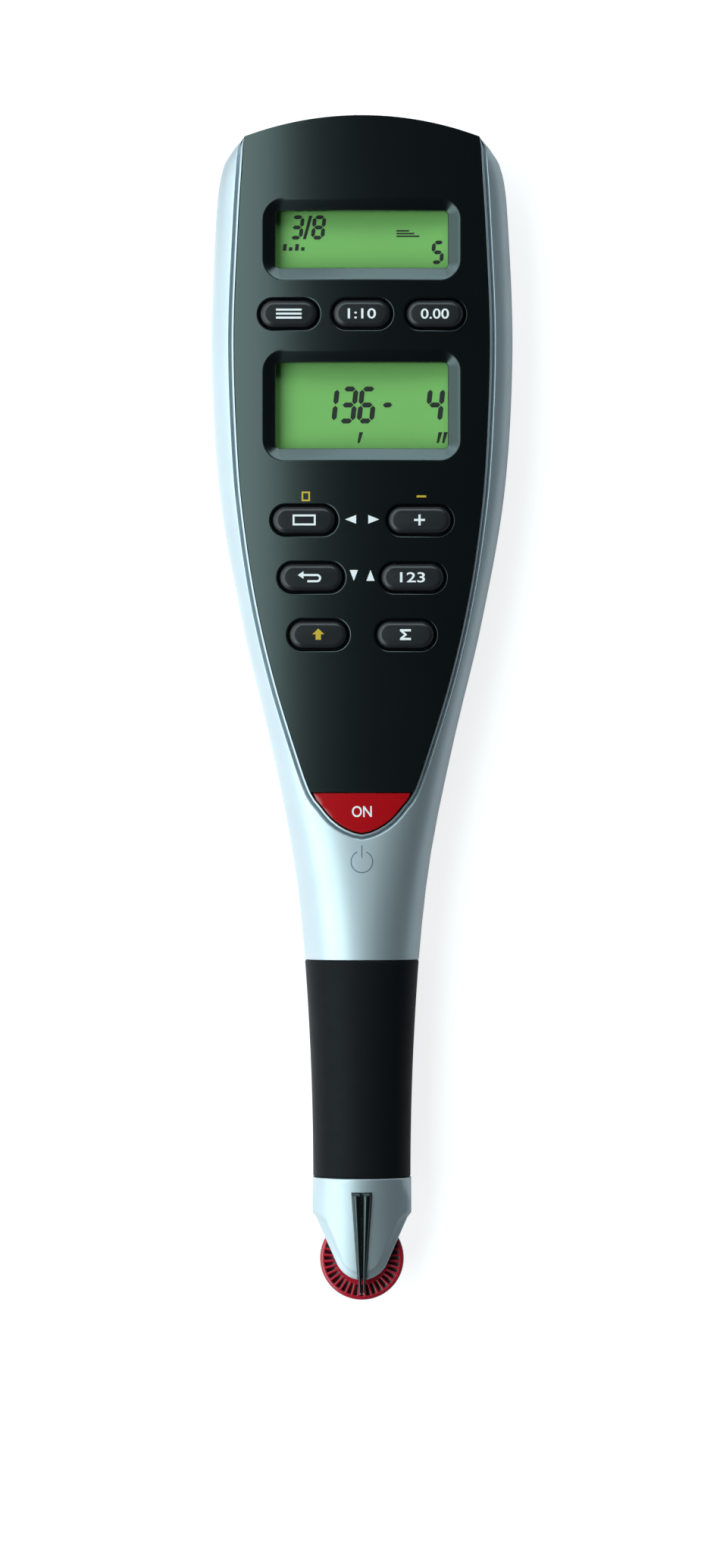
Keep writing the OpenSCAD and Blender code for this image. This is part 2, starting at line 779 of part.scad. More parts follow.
// Chip under the board with two rows of legs
module controller_chip() color([0.1, 0.1, 0.1]) {
    chip_w = 7;
    chip_h = 1.4;
    leg_count = 8;
    leg_pitch = 0.8;
    leg_w = 0.35;
    leg_out = 1;
    leg_t = 0.4;
    lift = 0.1;
    first_leg = -(leg_count - 1) / 2;
    translate([0, pair_row_y[1], board_z - chip_h]) {
        translate([-chip_w / 2, -chip_w / 2, 0]) cube([chip_w, chip_w, chip_h - lift]);
        for (i = [0:leg_count - 1])
            translate([-chip_w / 2 - leg_out, (first_leg + i) * leg_pitch - leg_w / 2, chip_h - leg_t])
                cube([chip_w + 2 * leg_out, leg_w, leg_t]);
    }
}

module timing_crystal() color("silver") {
    can_d = 1.8;
    can_len = 6;
    lead_d = 0.4;
    lead_len = 1.5;
    lead_x = 0.5;
    can_x = 9.5;
    translate([can_x, pair_row_y[1] - can_len / 2, board_z - can_d / 2]) rotate([-90, 0, 0]) {
        cylinder(d = can_d, h = can_len);
        for (side = [-1, 1]) translate([side * lead_x, 0, can_len]) cylinder(d = lead_d, h = lead_len);
    }
}

module board_capacitors() color("tan") {
    size = [2, 1.25, 1];
    count = 4;
    pitch = 2.4;
    left_x = -11;
    for (i = [0:count - 1])
        translate([left_x, pair_row_y[1] + (i - count / 2) * pitch, board_z - size[2]]) cube(size);
}

module power_switch() color("gray") {
    button_d = 1.8;
    button_h = 0.5;
    body_top = board_top + power_switch_h - button_h;
    translate([0, power_switch_y, 0]) {
        block([-power_switch_w / 2, -power_switch_w / 2, board_top],
            [power_switch_w / 2, power_switch_w / 2, body_top]);
        post(0, 0, button_d, board_top, board_top + power_switch_h);
    }
}

module upper_keypad() color("gainsboro") {
    hole_d = plunger_d + 2 * plunger_room;
    half_w = top_key_pitch + top_key_w / 2;
    half_h = key_h / 2 + key_gap + key_flange;
    difference() {
        block([-half_w, top_row_y - half_h, board_top], [half_w, top_row_y + half_h, keypad_top]);
        for (i = [0:2]) post(key_places[i][0], key_places[i][1], hole_d, board_top - past, keypad_top + past);
    }
}

module lower_keypad() color("gainsboro") {
    hole_d = plunger_d + 2 * plunger_room;
    half_h = key_h / 2 + key_gap;
    high_w = pair_x[0] + pair_w[0] / 2;
    low_inset = 0.8;
    low_w = pair_x[2] + pair_w[2] / 2 - low_inset;
    difference() {
        translate([0, 0, board_top]) linear_extrude(keypad_t) polygon([
            [-high_w, pair_row_y[0] + half_h], [high_w, pair_row_y[0] + half_h],
            [low_w, pair_row_y[2] - half_h], [-low_w, pair_row_y[2] - half_h]
        ]);
        for (i = [3:8]) post(key_places[i][0], key_places[i][1], hole_d, board_top - past, keypad_top + past);
    }
}

module left_top_key() color([0.1, 0.1, 0.11]) key(0);
module middle_top_key() color([0.1, 0.1, 0.11]) key(1);
module right_top_key() color([0.1, 0.1, 0.11]) key(2);
module area_key() color([0.1, 0.1, 0.11]) key(3);
module memory_key() color([0.1, 0.1, 0.11]) key(4);
module recall_key() color([0.1, 0.1, 0.11]) key(5);
module count_key() color([0.1, 0.1, 0.11]) key(6);
module shift_key() color([0.1, 0.1, 0.11]) key(7);
module subtotal_key() color([0.1, 0.1, 0.11]) key(8);

module on_key() color([0.7, 0.05, 0.06]) {
    intersection() {
        translate([0, 0, on_key_z]) linear_extrude(crown_z) intersection() {
            offset(delta = -on_key_gap) face_plan();
            translate([-head_w / 2, seam_y - on_key_gap - head_w]) square(head_w);
        }
        under_crown(0);
    }
    post(0, power_switch_y, plunger_d, board_top + power_switch_h + on_key_travel + plunger_gap,
        on_key_z + on_key_root);
}

module battery_door() color("lightgray") {
    ridge_count = 6;
    ridge_pitch = 1.6;
    ridge_w = 0.7;
    ridge_depth = 0.3;
    ridge_drop = 4;
    half_w = door_w / 2;
    top_z = door_recess + door_t;
    difference() {
        union() {
            block([-half_w, door_low_y, door_recess], [half_w, top_y, top_z]);
            block([-half_w - door_tongue, door_low_y, tongue_z], [half_w + door_tongue, top_y, top_z]);
        }
        // Thumb ridges near the top end
        for (i = [0:ridge_count - 1])
            translate([-half_w / 2, top_y - ridge_drop - i * ridge_pitch, door_recess - past])
                cube([half_w, ridge_w, past + ridge_depth]);
    }
}

module battery_tray() color([0.15, 0.15, 0.16]) {
    pin_room = 0.2;
    pin_hole = contact_pin + 2 * pin_room;
    difference() {
        block([-tray_w / 2, tray_low_y, floor_z + tray_fit], [tray_w / 2, tray_top_y, tray_top_z]);
        for (y = cell_y) {
            post(0, y, cell_d + 2 * cell_room, floor_z - past, pocket_z);
            block([-pin_hole / 2, y - pin_hole / 2, pocket_z - past],
                [pin_hole / 2, y + pin_hole / 2, tray_top_z + past]);
        }
    }
}

// Coin cell: a can with a slightly smaller cap on one face
module cell(y) {
    cap_h = 0.3;
    translate([0, y, cell_z]) {
        cylinder(d = cell_d, h = cell_t - cap_h);
        cylinder(d = cell_d - 2.4, h = cell_t);
    }
}

module upper_cell() color("silver") cell(cell_y[0]);
module lower_cell() color("silver") cell(cell_y[1]);

// Spring plate over a cell with a pin up to the board
module contact(y) {
    half_w = contact_w / 2;
    half_len = contact_len / 2;
    half_pin = contact_pin / 2;
    block([-half_w, y - half_len, contact_z], [half_w, y + half_len, contact_z + contact_t]);
    block([-half_pin, y - half_pin, contact_z], [half_pin, y + half_pin, board_z]);
}

module positive_contact() color("goldenrod") contact(cell_y[0]);
module negative_contact() color("goldenrod") contact(cell_y[1]);

module case_screws() color("gray")
    for (p = case_screw_places) translate([p[0], p[1], 0])
        screw(case_screw_d, case_head_d, case_seat_z, case_screw_tip);

module board_screws() color("gray")
    for (p = board_screw_places) translate([p[0], p[1], 0])
        screw(board_screw_d, board_head_d, board_z, board_screw_tip);

module nose_screws() color("gray")
    for (side = [-1, 1]) translate([side * nose_screw_x, nose_screw_y, 0])
        screw(nose_screw_d, nose_head_d, nose_seat_z, nose_screw_tip);

module grip_sleeve() color([0.12, 0.13, 0.14]) {
    rings = 5;
    corners = 2 * section_steps;
    difference() {
        skin([
            for (i = [0:rings])
                let (t = i / rings, y = lerp(grip_end_y + rest_gap, neck_y - rest_gap, t), bow = t * t)
                [for (j = [0:corners - 1])
                    let (p = round_point(lerp(grip_end_w, neck_w, bow) / 2,
                        lerp(grip_end_depth, neck_depth, bow) / 2, neck_squareness, 360 * j / corners))
                    [p[0], y, mid_z + p[1]]]
        ], false);
        rod(spigot_d + 2 * sleeve_fit, grip_end_y - past, neck_y + past);
    }
}

// Outline of the nose: straight sides, a shoulder, and a taper to a round tip
module nose_plan() {
    shoulder_y = grip_end_y - nose_straight;
    shoulder_drop = 0.806;
    shoulder_low_y = shoulder_y - shoulder_drop;
    tip_steps = 12;
    tip_angle = -24;
    tip = [
        for (i = [0:tip_steps])
            let (a = lerp(tip_angle, -180 - tip_angle, i / tip_steps))
            [nose_tip_r * cos(a), nose_tip_y + nose_tip_r + nose_tip_r * sin(a)]
    ];
    half = nose_w / 2;
    polygon(concat(
        [[-half, grip_end_y], [half, grip_end_y], [half, shoulder_y],
            [half - nose_shoulder, shoulder_low_y]],
        tip,
        [[nose_shoulder - half, shoulder_low_y], [-half, shoulder_y]]
    ));
}

// Moves what is drawn flat onto the sloping front of the nose
module on_nose_slope() {
    translate([0, grip_end_y, mid_z + nose_depth / 2]) rotate([nose_slope, 0, 0]) children();
}

// Outline of the pointer, grown by a fit
module pointer_plan(fit) {
    high = -pointer_from_grip + fit;
    low = -(nose_len + pointer_out) / cos(nose_slope) - fit;
    half = pointer_w / 2 + fit;
    tip = pointer_tip_w / 2 + fit;
    polygon([[-half, high], [half, high], [tip, low], [-tip, low]]);
}

// One half of the nose, drawn towards +Z
module nose_half() {
    difference() {
        union() {
            intersection() {
                translate([0, 0, mid_z]) linear_extrude(nose_depth / 2) nose_plan();
                round_bar(nose_w, nose_depth, nose_squareness, nose_squareness,
                    nose_tip_y - past, grip_end_y);
            }
            intersection() {
                rod(spigot_bore - 2 * plug_fit, grip_end_y - past, grip_end_y + plug_len);
                half_space(1);
            }
        }
        on_nose_slope() translate([-nose_w, -2 * nose_len, 0]) cube([2 * nose_w, 2 * nose_len, nose_depth]);
        block([-nose_w, nose_tip_y - past, mid_z - past], [nose_w, slot_top_y, mid_z + slot_h / 2]);
        block([-cavity_w / 2, cavity_low_y, mid_z - past],
            [cavity_w / 2, grip_end_y - past, mid_z + cavity_h / 2]);
        rod(plug_bore, grip_end_y - 2 * past, grip_end_y + plug_len + past);
        post(0, wheel_y, axle_d + 2 * axle_seat_fit, mid_z, mid_z + axle_len / 2 + rest_gap);
    }
}

module nose_front() color("silver") {
    difference() {
        nose_half();
        on_nose_slope() translate([0, 0, -pointer_recess]) linear_extrude(nose_depth) pointer_plan(rest_gap);
        for (side = [-1, 1])
            post(side * nose_screw_x, nose_screw_y, nose_screw_d + 2 * screw_fit, mid_z - past,
                nose_screw_tip + rest_gap);
    }
}

module nose_rear() color("lightgray") {
    difference() {
        translate([0, 0, 2 * mid_z]) mirror([0, 0, 1]) nose_half();
        for (side = [-1, 1]) {
            post(side * nose_screw_x, nose_screw_y, nose_screw_d + 2 * screw_fit, 0, mid_z + past);
            post(side * nose_screw_x, nose_screw_y, nose_head_d + 2 * rest_gap, -past, nose_seat_z);
        }
    }
}

module pointer() color([0.1, 0.1, 0.11]) {
    on_nose_slope() difference() {
        translate([0, 0, -pointer_recess]) linear_extrude(pointer_recess + pointer_rise) pointer_plan(0);
        // Fine line down the middle
        translate([-pointer_split_w / 2, -2 * nose_len, pointer_rise / 2])
            cube([pointer_split_w, 2 * nose_len, nose_depth]);
    }
}

// Pocket between two ribs, opening upwards from a level
module wheel_pocket(low) {
    outer = wheel_d / 2 - wheel_rim;
    inner = outer - pocket_len;
    pitch = 360 / rib_count;
    outer_half = outer * sin(pitch / 2) - rib_w / 2;
    inner_half = inner * sin(pitch / 2) - rib_w / 2;
    translate([0, 0, low]) linear_extrude(pocket_depth + past)
        polygon([[inner, -inner_half], [outer, -outer_half], [outer, outer_half], [inner, inner_half]]);
}

module measuring_wheel() color([0.62, 0.1, 0.13]) {
    hub_d = axle_d + 2 * hub_wall;
    hub_h = slot_h - 2 * hub_room;
    translate([0, wheel_y, mid_z]) difference() {
        union() {
            cylinder(d = wheel_d, h = wheel_t, center = true);
            cylinder(d = hub_d, h = hub_h, center = true);
        }
        cylinder(d = axle_d + 2 * axle_fit, h = 2 * slot_h, center = true);
        for (i = [0:rib_count - 1]) rotate(i * 360 / rib_count) {
            wheel_pocket(wheel_t / 2 - pocket_depth);
            mirror([0, 0, 1]) wheel_pocket(wheel_t / 2 - pocket_depth);
        }
    }
}

module wheel_axle() color("gray")
    post(0, wheel_y, axle_d, mid_z - axle_len / 2, mid_z + axle_len / 2);

module encoder_board() color("darkgreen")
    block([-flex_w / 2 - encoder_room, encoder_low_y, mid_z - encoder_board_t / 2],
        [flex_w / 2 + encoder_room, encoder_low_y + encoder_len, mid_z + encoder_board_t / 2]);

// Optical part that reaches from the encoder board over one face of the wheel
module optic() {
    low = mid_z + wheel_t / 2 + optic_gap;
    high_y = encoder_low_y + optic_foot;
    block([-optic_w / 2, optic_low_y, low], [optic_w / 2, high_y, low + optic_t]);
    block([-optic_w / 2, encoder_low_y, mid_z + encoder_board_t / 2], [optic_w / 2, high_y, low + optic_t]);
}

module light_detector() color([0.15, 0.15, 0.18]) optic();

module light_emitter() color([0.3, 0.3, 0.36])
    translate([0, 0, 2 * mid_z]) mirror([0, 0, 1]) optic();

module flex_cable() color("peru")
    block([-flex_w / 2, encoder_low_y + optic_foot + flex_lap, board_z - flex_t],
        [flex_w / 2, power_switch_y + power_switch_w / 2, board_z]);

front_housing();
rear_housing();
faceplate();
upper_lens();
lower_lens();
upper_display();
lower_display();
upper_connector();
lower_connector();
main_board();
controller_chip();
timing_crystal();
board_capacitors();
power_switch();
upper_keypad();
lower_keypad();
left_top_key();
middle_top_key();
right_top_key();
area_key();
memory_key();
recall_key();
count_key();
shift_key();
subtotal_key();
on_key();
battery_door();
battery_tray();
upper_cell();
lower_cell();
positive_contact();
negative_contact();
case_screws();
board_screws();
nose_screws();
grip_sleeve();
nose_front();
nose_rear();
pointer();
measuring_wheel();
wheel_axle();
encoder_board();
light_emitter();
light_detector();
flex_cable();
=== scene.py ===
import json
import math
from bisect import bisect_right
from collections import namedtuple

import bpy
from mathutils import Matrix, Vector


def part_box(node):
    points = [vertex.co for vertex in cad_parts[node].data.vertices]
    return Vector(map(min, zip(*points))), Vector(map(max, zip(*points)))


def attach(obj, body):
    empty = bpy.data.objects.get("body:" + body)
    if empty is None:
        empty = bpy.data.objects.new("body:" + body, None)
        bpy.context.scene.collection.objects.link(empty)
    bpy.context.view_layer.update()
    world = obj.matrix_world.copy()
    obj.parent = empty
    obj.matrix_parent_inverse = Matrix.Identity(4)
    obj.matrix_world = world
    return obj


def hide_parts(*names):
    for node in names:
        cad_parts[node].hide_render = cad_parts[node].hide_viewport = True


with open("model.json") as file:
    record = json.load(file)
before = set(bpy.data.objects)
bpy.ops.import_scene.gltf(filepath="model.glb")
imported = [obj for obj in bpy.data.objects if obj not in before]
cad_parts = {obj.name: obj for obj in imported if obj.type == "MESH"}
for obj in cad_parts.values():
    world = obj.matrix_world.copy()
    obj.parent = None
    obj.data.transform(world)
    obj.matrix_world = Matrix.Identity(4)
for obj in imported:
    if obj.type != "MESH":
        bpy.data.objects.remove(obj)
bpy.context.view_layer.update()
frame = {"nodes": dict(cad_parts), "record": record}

# Rear housing: the silver back shell that everything is screwed to.
# Moulded plastic with a satin metallic paint, a flat back, a way for the
# battery door and counterbores for the case screws.
mm = 0.001
smooth_angle = math.radians(35)
merge_gap = 0.002
cloud_detail = 3
grain_detail = 2
grain_depth = 0.1
silver_colour = (0.56, 0.63, 0.67, 1)
silver_shade = (0.50, 0.57, 0.61, 1)


def activate(piece):
    bpy.ops.object.select_all(action="DESELECT")
    piece.select_set(True)
    bpy.context.view_layer.objects.active = piece


def edit_all(piece):
    activate(piece)
    bpy.ops.object.mode_set(mode="EDIT")
    bpy.ops.mesh.select_all(action="SELECT")


def leave_edit():
    bpy.ops.object.mode_set(mode="OBJECT")


def copy_of(node, name):
    """A copy of a node's mesh, merged, as a piece of its own."""
    piece = frame["nodes"][node].copy()
    piece.data = piece.data.copy()
    piece.name = name
    piece.data.name = name
    piece.parent = None
    for key in list(piece.keys()):
        del piece[key]
    bpy.context.scene.collection.objects.link(piece)
    edit_all(piece)
    bpy.ops.mesh.remove_doubles(threshold=merge_gap * mm)
    leave_edit()
    return piece


def finish_piece(piece, material, body, slot, *nodes):
    activate(piece)
    bpy.ops.object.shade_smooth_by_angle(angle=smooth_angle)
    piece.data.materials.clear()
    piece.data.materials.append(material)
    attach(piece, body)
    if nodes:
        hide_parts(*nodes)


def even_shading(piece):
    """Weighs the normals by area, so that flat faces look flat beside a hole."""
    activate(piece)
    even = piece.modifiers.new("even", "WEIGHTED_NORMAL")
    even.keep_sharp = True
    bpy.ops.object.modifier_apply(modifier=even.name)


def feed(tree, socket, value):
    """Links a socket to another one, or sets it to a plain value."""
    if isinstance(value, bpy.types.NodeSocket):
        tree.links.new(value, socket)
    else:
        socket.default_value = value


def noise_of(tree, place, scale, detail):
    noise = tree.nodes.new("ShaderNodeTexNoise")
    noise.inputs["Scale"].default_value = scale
    noise.inputs["Detail"].default_value = detail
    feed(tree, noise.inputs["Vector"], place)
    return noise.outputs["Fac"]


def ramp_of(tree, value, low, high, first, last, kind="LINEAR"):
    """Carries a value from one range to another, held at both ends."""
    ramp = tree.nodes.new("ShaderNodeMapRange")
    ramp.interpolation_type = kind
    sockets = ("Value", "From Min", "From Max", "To Min", "To Max")
    for socket, given in zip(sockets, (value, low, high, first, last)):
        feed(tree, ramp.inputs[socket], given)
    return ramp.outputs["Result"]


def mix_of(tree, share, first, second):
    mix = tree.nodes.new("ShaderNodeMix")
    mix.data_type = "RGBA"
    for socket, given in (("Factor", share), ("A", first), ("B", second)):
        feed(tree, mix.inputs[socket], given)
    return mix.outputs["Result"]


def finish_of(name, colour, shade, cloud_scale, roughness, spread, grain, grain_scale, extra=()):
    """A finish with faint clouds in its colour and gloss, and a fine grain."""
    material = bpy.data.materials.new(name)
    material.use_nodes = True
    tree = material.node_tree
    shader = tree.nodes["Principled BSDF"]
    place = tree.nodes.new("ShaderNodeTexCoord").outputs["Object"]
    cloud = noise_of(tree, place, cloud_scale, cloud_detail)
    feed(tree, shader.inputs["Base Color"], mix_of(tree, cloud, colour, shade))
    gloss = ramp_of(tree, cloud, 0, 1, roughness - spread, roughness + spread)
    feed(tree, shader.inputs["Roughness"], gloss)
    bump = tree.nodes.new("ShaderNodeBump")
    bump.inputs["Strength"].default_value = grain
    bump.inputs["Distance"].default_value = grain_depth * mm
    feed(tree, bump.inputs["Height"], noise_of(tree, place, grain_scale, grain_detail))
    feed(tree, shader.inputs["Normal"], bump.outputs["Normal"])
    for socket, value in dict(extra).items():
        shader.inputs[socket].default_value = value
    return material


silver_paint = finish_of(
    "silver_paint", silver_colour, silver_shade, cloud_scale=90, roughness=0.48, spread=0.03,
    grain=0.012, grain_scale=9000,
    extra={"Metallic": 0.8, "Coat Weight": 0.15, "Coat Roughness": 0.12})
rear_shell = copy_of("rear_housing", "rear_shell")
finish_piece(rear_shell, silver_paint, "case", "silver_paint", "rear_housing")
even_shading(rear_shell)

# Front housing: the silver front shell, painted like the rear one.
# Its rails swell from the neck to the head round the opening for the faceplate,
# and a fine groove sets a narrow lip off from each rail.
mid_z = 8
shell_gap = 0.05
neck_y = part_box("grip_sleeve")[1].y / mm + shell_gap
top_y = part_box("rear_housing")[1].y / mm
head_w = 2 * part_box("front_housing")[1].x / mm
neck_w = 17.9
neck_depth = 14.8
head_depth = 16
neck_squareness = 2.2
head_squareness = 3.2
end_squareness = 8.8
end_reach = 0.36
swell_len = 40
# Half outline of the housing: shares of its length and of its swell
housing_shape = [
    (0, 0), (0.13, 0.13), (0.27, 0.38), (0.41, 0.67), (0.57, 0.915),
    (0.74, 1), (0.895, 0.952), (0.957, 0.89), (0.984, 0.772), (1, 0.643),
]
face_w = 39.9
face_len = 109
# Half outline of the faceplate: shares of its width and of its length
face_shape = [
    (0, 0), (0.085, 0.004), (0.17, 0.012), (0.25, 0.024), (0.326, 0.041), (0.4, 0.06),
    (0.496, 0.109), (0.677, 0.217), (0.817, 0.326), (0.912, 0.435), (0.969, 0.543),
    (1, 0.706), (0.967, 0.867), (0.922, 1),
]
housing_lead = (-0.13, -0.06)
seam_rise = 6.5
curve_steps = 40
station_gap = 1.3
corner_gap = 0.2
corner_reach = 4
rail_rings = 14
inner_rings = 5
side_wall = 1.8
front_wall = 2.6
edge_share = 0.994
# Offset from the faceplate's edge and depth, for the lip and the groove
groove_profile = [
    (0.1, 2.3), (0.1, 0.14), (0.14, 0.07), (0.22, 0.05), (0.38, 0.09), (0.44, 0.16), (0.46, 0.95),
    (0.52, 1), (0.92, 0.08), (0.97, 0.03), (1.05, 0.005), (1.15, 0),
]
groove_room = 1.6
least_room = 0.02


def blend_of(low, high, share):
    return low + (high - low) * share


def ease(share):
    share = min(1, max(0, share))
    return share * share * (3 - 2 * share)


def smooth_curve(points, before, steps):
    """A smooth curve through the points, led in by one more point."""
    last = points[-1]
    after = (2 * last[0] - points[-2][0], 2 * last[1] - points[-2][1])
    guided = [Vector(point) for point in [before, *points, after]]
    curve = []
    for a, b, c, d in zip(guided, guided[1:], guided[2:], guided[3:]):
        for step in range(steps):
            t = step / steps
            bend = 2 * a - 5 * b + 4 * c - d
            curve.append(0.5 * (2 * b + (c - a) * t + bend * t * t + (3 * b - a - 3 * c + d) * t ** 3))
    curve.append(guided[-2])
    return curve


housing_side = [
    (neck_y + point.x * (top_y - neck_y), blend_of(neck_w, head_w, point.y) / 2)
    for point in smooth_curve(housing_shape, housing_lead, curve_steps)
]
housing_places = [place for place, width in housing_side]


def half_width(y):
    index = min(max(bisect_right(housing_places, y), 1), len(housing_side) - 1)
    (low_y, low_w), (high_y, high_w) = housing_side[index - 1], housing_side[index]
    return blend_of(low_w, high_w, (y - low_y) / (high_y - low_y))


def squareness(y):
    swell = blend_of(neck_squareness, head_squareness, ease((y - neck_y) / swell_len))
    return swell + end_squareness * end_reach / (abs(top_y - y) + end_reach)


def half_depth(y):
    return blend_of(neck_depth, head_depth, ease((y - neck_y) / swell_len)) / 2


def section_point(angle, width, depth, power):
    c = math.cos(angle)
    s = math.sin(angle)
    reach = (abs(c) ** power + abs(s) ** power) ** (-1 / power)
    return width * c * reach, depth * s * reach


def shell_point(angle, y, side_inset=0.0, depth_inset=0.0):
    x, z = section_point(angle, half_width(y) - side_inset, half_depth(y) - depth_inset, squareness(y))
    return Vector((x, y, mid_z + z))


def shell_angle(x, y):
    power = squareness(y)
    share = min(edge_share, abs(x) / half_width(y))
    return math.atan2((1 - share ** power) ** (1 / power), share)


def skin(name, columns, rows, place):
    """A grid wrapped over the places of its knots, then merged and closed."""
    bpy.ops.object.select_all(action="DESELECT")
    bpy.ops.mesh.primitive_grid_add(x_subdivisions=columns, y_subdivisions=rows)
    piece = bpy.context.object
    piece.name = name
    piece.data.name = name
    for number, vertex in enumerate(piece.data.vertices):
        row, column = divmod(number, columns + 1)
        vertex.co = place(column, row) * mm
    edit_all(piece)
    bpy.ops.mesh.remove_doubles(threshold=merge_gap * mm)
    bpy.ops.mesh.fill_holes(sides=0)
    bpy.ops.mesh.select_all(action="SELECT")
    bpy.ops.mesh.normals_make_consistent(inside=False)
    leave_edit()
    return piece


face_low_y = top_y - face_len
face_side = [
    Vector((point.x * face_w / 2, face_low_y + point.y * face_len))
    for point in smooth_curve(face_shape, (-face_shape[1][0], face_shape[1][1]), curve_steps)
]

# Places along the right-hand edge of the faceplate, closer together at the top corner
stations = [0]
walked = 0
for index in range(1, len(face_side)):
    walked += (face_side[index] - face_side[index - 1]).length
    near_corner = top_y - face_side[index].y < corner_reach
    if walked >= (corner_gap if near_corner else station_gap) or index == len(face_side) - 1:
        stations.append(index)
        walked = 0
seam_y = face_low_y + seam_rise
tip_stations = sum(1 for index in stations if face_side[index].y < seam_y)


def right_of(points, index):
    """Way to the right of a chain of points, at one of them."""
    ahead = points[min(index + 1, len(points) - 1)]
    behind = points[max(index - 1, 0)]
    run = (ahead - behind).normalized()
    return Vector((run.y, -run.x))


def face_edge(number):
    """Place of a station on the faceplate's edge, and the way outwards there."""
    index = stations[number]
    return face_side[index], right_of(face_side, index) if index else Vector((0, -1))


def offset_place(number, offset):
    point, outward = face_edge(number)
    room = max(least_room, half_width(point.y) - point.x)
    return point + outward * offset * min(1, room / groove_room)


def outer_place(number):
    """Section angle and place where the grid line of a station meets the split or the neck."""
    if number < tip_stations:
        return math.pi / 2 * (1 - number / tip_stations), neck_y
    share = (number - tip_stations) / (len(stations) - 1 - tip_stations)
    y = face_edge(number)[0].y
    drop = (face_edge(tip_stations)[0].y - neck_y) * (1 - share) ** 2
    return 0.0, max(neck_y, y - drop)


def rail_place(number, share):
    x, y = offset_place(number, groove_profile[-1][0])
    y = min(y, top_y)
    angle, end_y = outer_place(number)
    return blend_of(shell_angle(x, y), angle, share), blend_of(y, end_y, share)


profile_rows = len(groove_profile)
outer_rows = profile_rows + rail_rings
front_rows = outer_rows + inner_rings + 1
side_count = len(stations) - 1


def front_place(column, row):
    """Knot of the shell: lip and groove first, then the rail, then its inside."""
    number = abs(column - side_count)
    mirror = -1 if column < side_count else 1
    row = row % front_rows
    if row < profile_rows:
        offset, depth = groove_profile[row]
        x, y = offset_place(number, offset)
        y = min(y, top_y)
        point = shell_point(shell_angle(x, y), y)
        point.z -= depth
    elif row < outer_rows:
        point = shell_point(*rail_place(number, (row - profile_rows + 1) / rail_rings))
    else:
        share = 1 - (row - outer_rows) / inner_rings
        point = shell_point(*rail_place(number, share), side_wall, front_wall)
    return Vector((mirror * point.x, point.y, point.z))


front_shell = skin("front_shell", 2 * side_count, front_rows, front_place)
finish_piece(front_shell, silver_paint, "case", "silver_paint", "front_housing")

# Faceplate: the gloss black plate, a moulding crowned across its width.
# Two windows with sloped frames, a rounded hole for each key, and a thick black
# end that closes the head. It drops onto the ledge of the front housing.
crown_z = 16
crown_radius = 105
face_wall = 1.3
strip_w = 1.5
crown_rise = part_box("faceplate")[1].y / mm - top_y
arc_steps = 40
corner_steps = 12
end_wall = 0.4
end_y = top_y - end_wall
end_low_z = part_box("faceplate")[0].z / mm
# Levels of the thick end on its way down to the back
end_steps = (11, 9, 7.5, 6, 4.6, 3.4, 2.7, end_low_z)
back_depth = 8.5
window_w = 26.9
window_bevel = 2.1
# Place up the head and clear height of the two windows
window_plan = [(73.4, 8.85), (47.45, 13.35)]
window_corner = 0.6
bevel_corner = 3.5
pane_gap = 0.03
pane_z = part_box("upper_lens")[1].z / mm + pane_gap
window_drop = 1.02
# Inset from the hole's edge and drop below the crown; the last ring reaches the pane
window_profile = [(0.1, 0.012), (0.25, 0.055), (0.5, 0.155), (1.85, 0.79), (1.98, 0.85),
                  (2.06, window_drop), (2.1, None)]
key_h = 4.2
key_gap = 0.3
rim_r = 0.32
rim_flat = 0.02
rim_profile = [(0.08, 0.02), (0.17, 0.08), (0.26, 0.18), (0.32, 0.34)]
# Middle of each key across and up the head, and its width
key_plan = {
    "left_top_key": (-11.4, 61.7, 8.9), "middle_top_key": (0, 61.7, 8.9),
    "right_top_key": (11.4, 61.7, 8.9),
    "area_key": (-9, 29.5, 9.8), "memory_key": (9, 29.5, 9.8),
    "recall_key": (-7.9, 20.55, 9.8), "count_key": (7.9, 20.55, 9.8),
    "shift_key": (-6.8, 11.6, 8.95), "subtotal_key": (6.8, 11.6, 8.95),
}
black_colour = (0.002, 0.0025, 0.003, 1)
black_shade = (0.003, 0.0035, 0.004, 1)
black_gleam = (0.76, 1, 1, 1)
ring_slack = 0.01
edge_slack = 0.005
fit_steps = 24
front_facing = 0.95
back_facing = -0.5
Hole = namedtuple("Hole", "x y w h outer_r inner_r profile")


def crown_at(x):
    return crown_z - crown_radius + math.sqrt(crown_radius ** 2 - x * x)


def round_box(hole):
    """Outline of a hole, a rectangle with round corners, anticlockwise."""
    outline = []
    r = hole.outer_r
    for quarter, (sx, sy) in enumerate([(1, 1), (-1, 1), (-1, -1), (1, -1)]):
        x = hole.x + sx * (hole.w / 2 - r)
        y = hole.y + sy * (hole.h / 2 - r)
        for step in range(corner_steps + 1):
            a = math.pi / 2 * (quarter + step / corner_steps)
            outline.append((x + r * math.cos(a), y + r * math.sin(a)))
    return outline


def ring_of(hole, inset):
    """Corner centre and corner radius of a hole's outline moved inwards."""
    r = blend_of(hole.outer_r, hole.inner_r, inset / hole.profile[-1][0])
    return Vector((hole.w / 2 - inset - r, hole.h / 2 - inset - r)), r


def beyond_ring(point, hole, inset):
    """How far a point lies outside that outline, less than 0 inside it."""
    corner, r = ring_of(hole, inset)
    qx = abs(point.x - hole.x) - corner.x
    qy = abs(point.y - hole.y) - corner.y
    return math.hypot(max(qx, 0), max(qy, 0)) + min(max(qx, qy), 0) - r


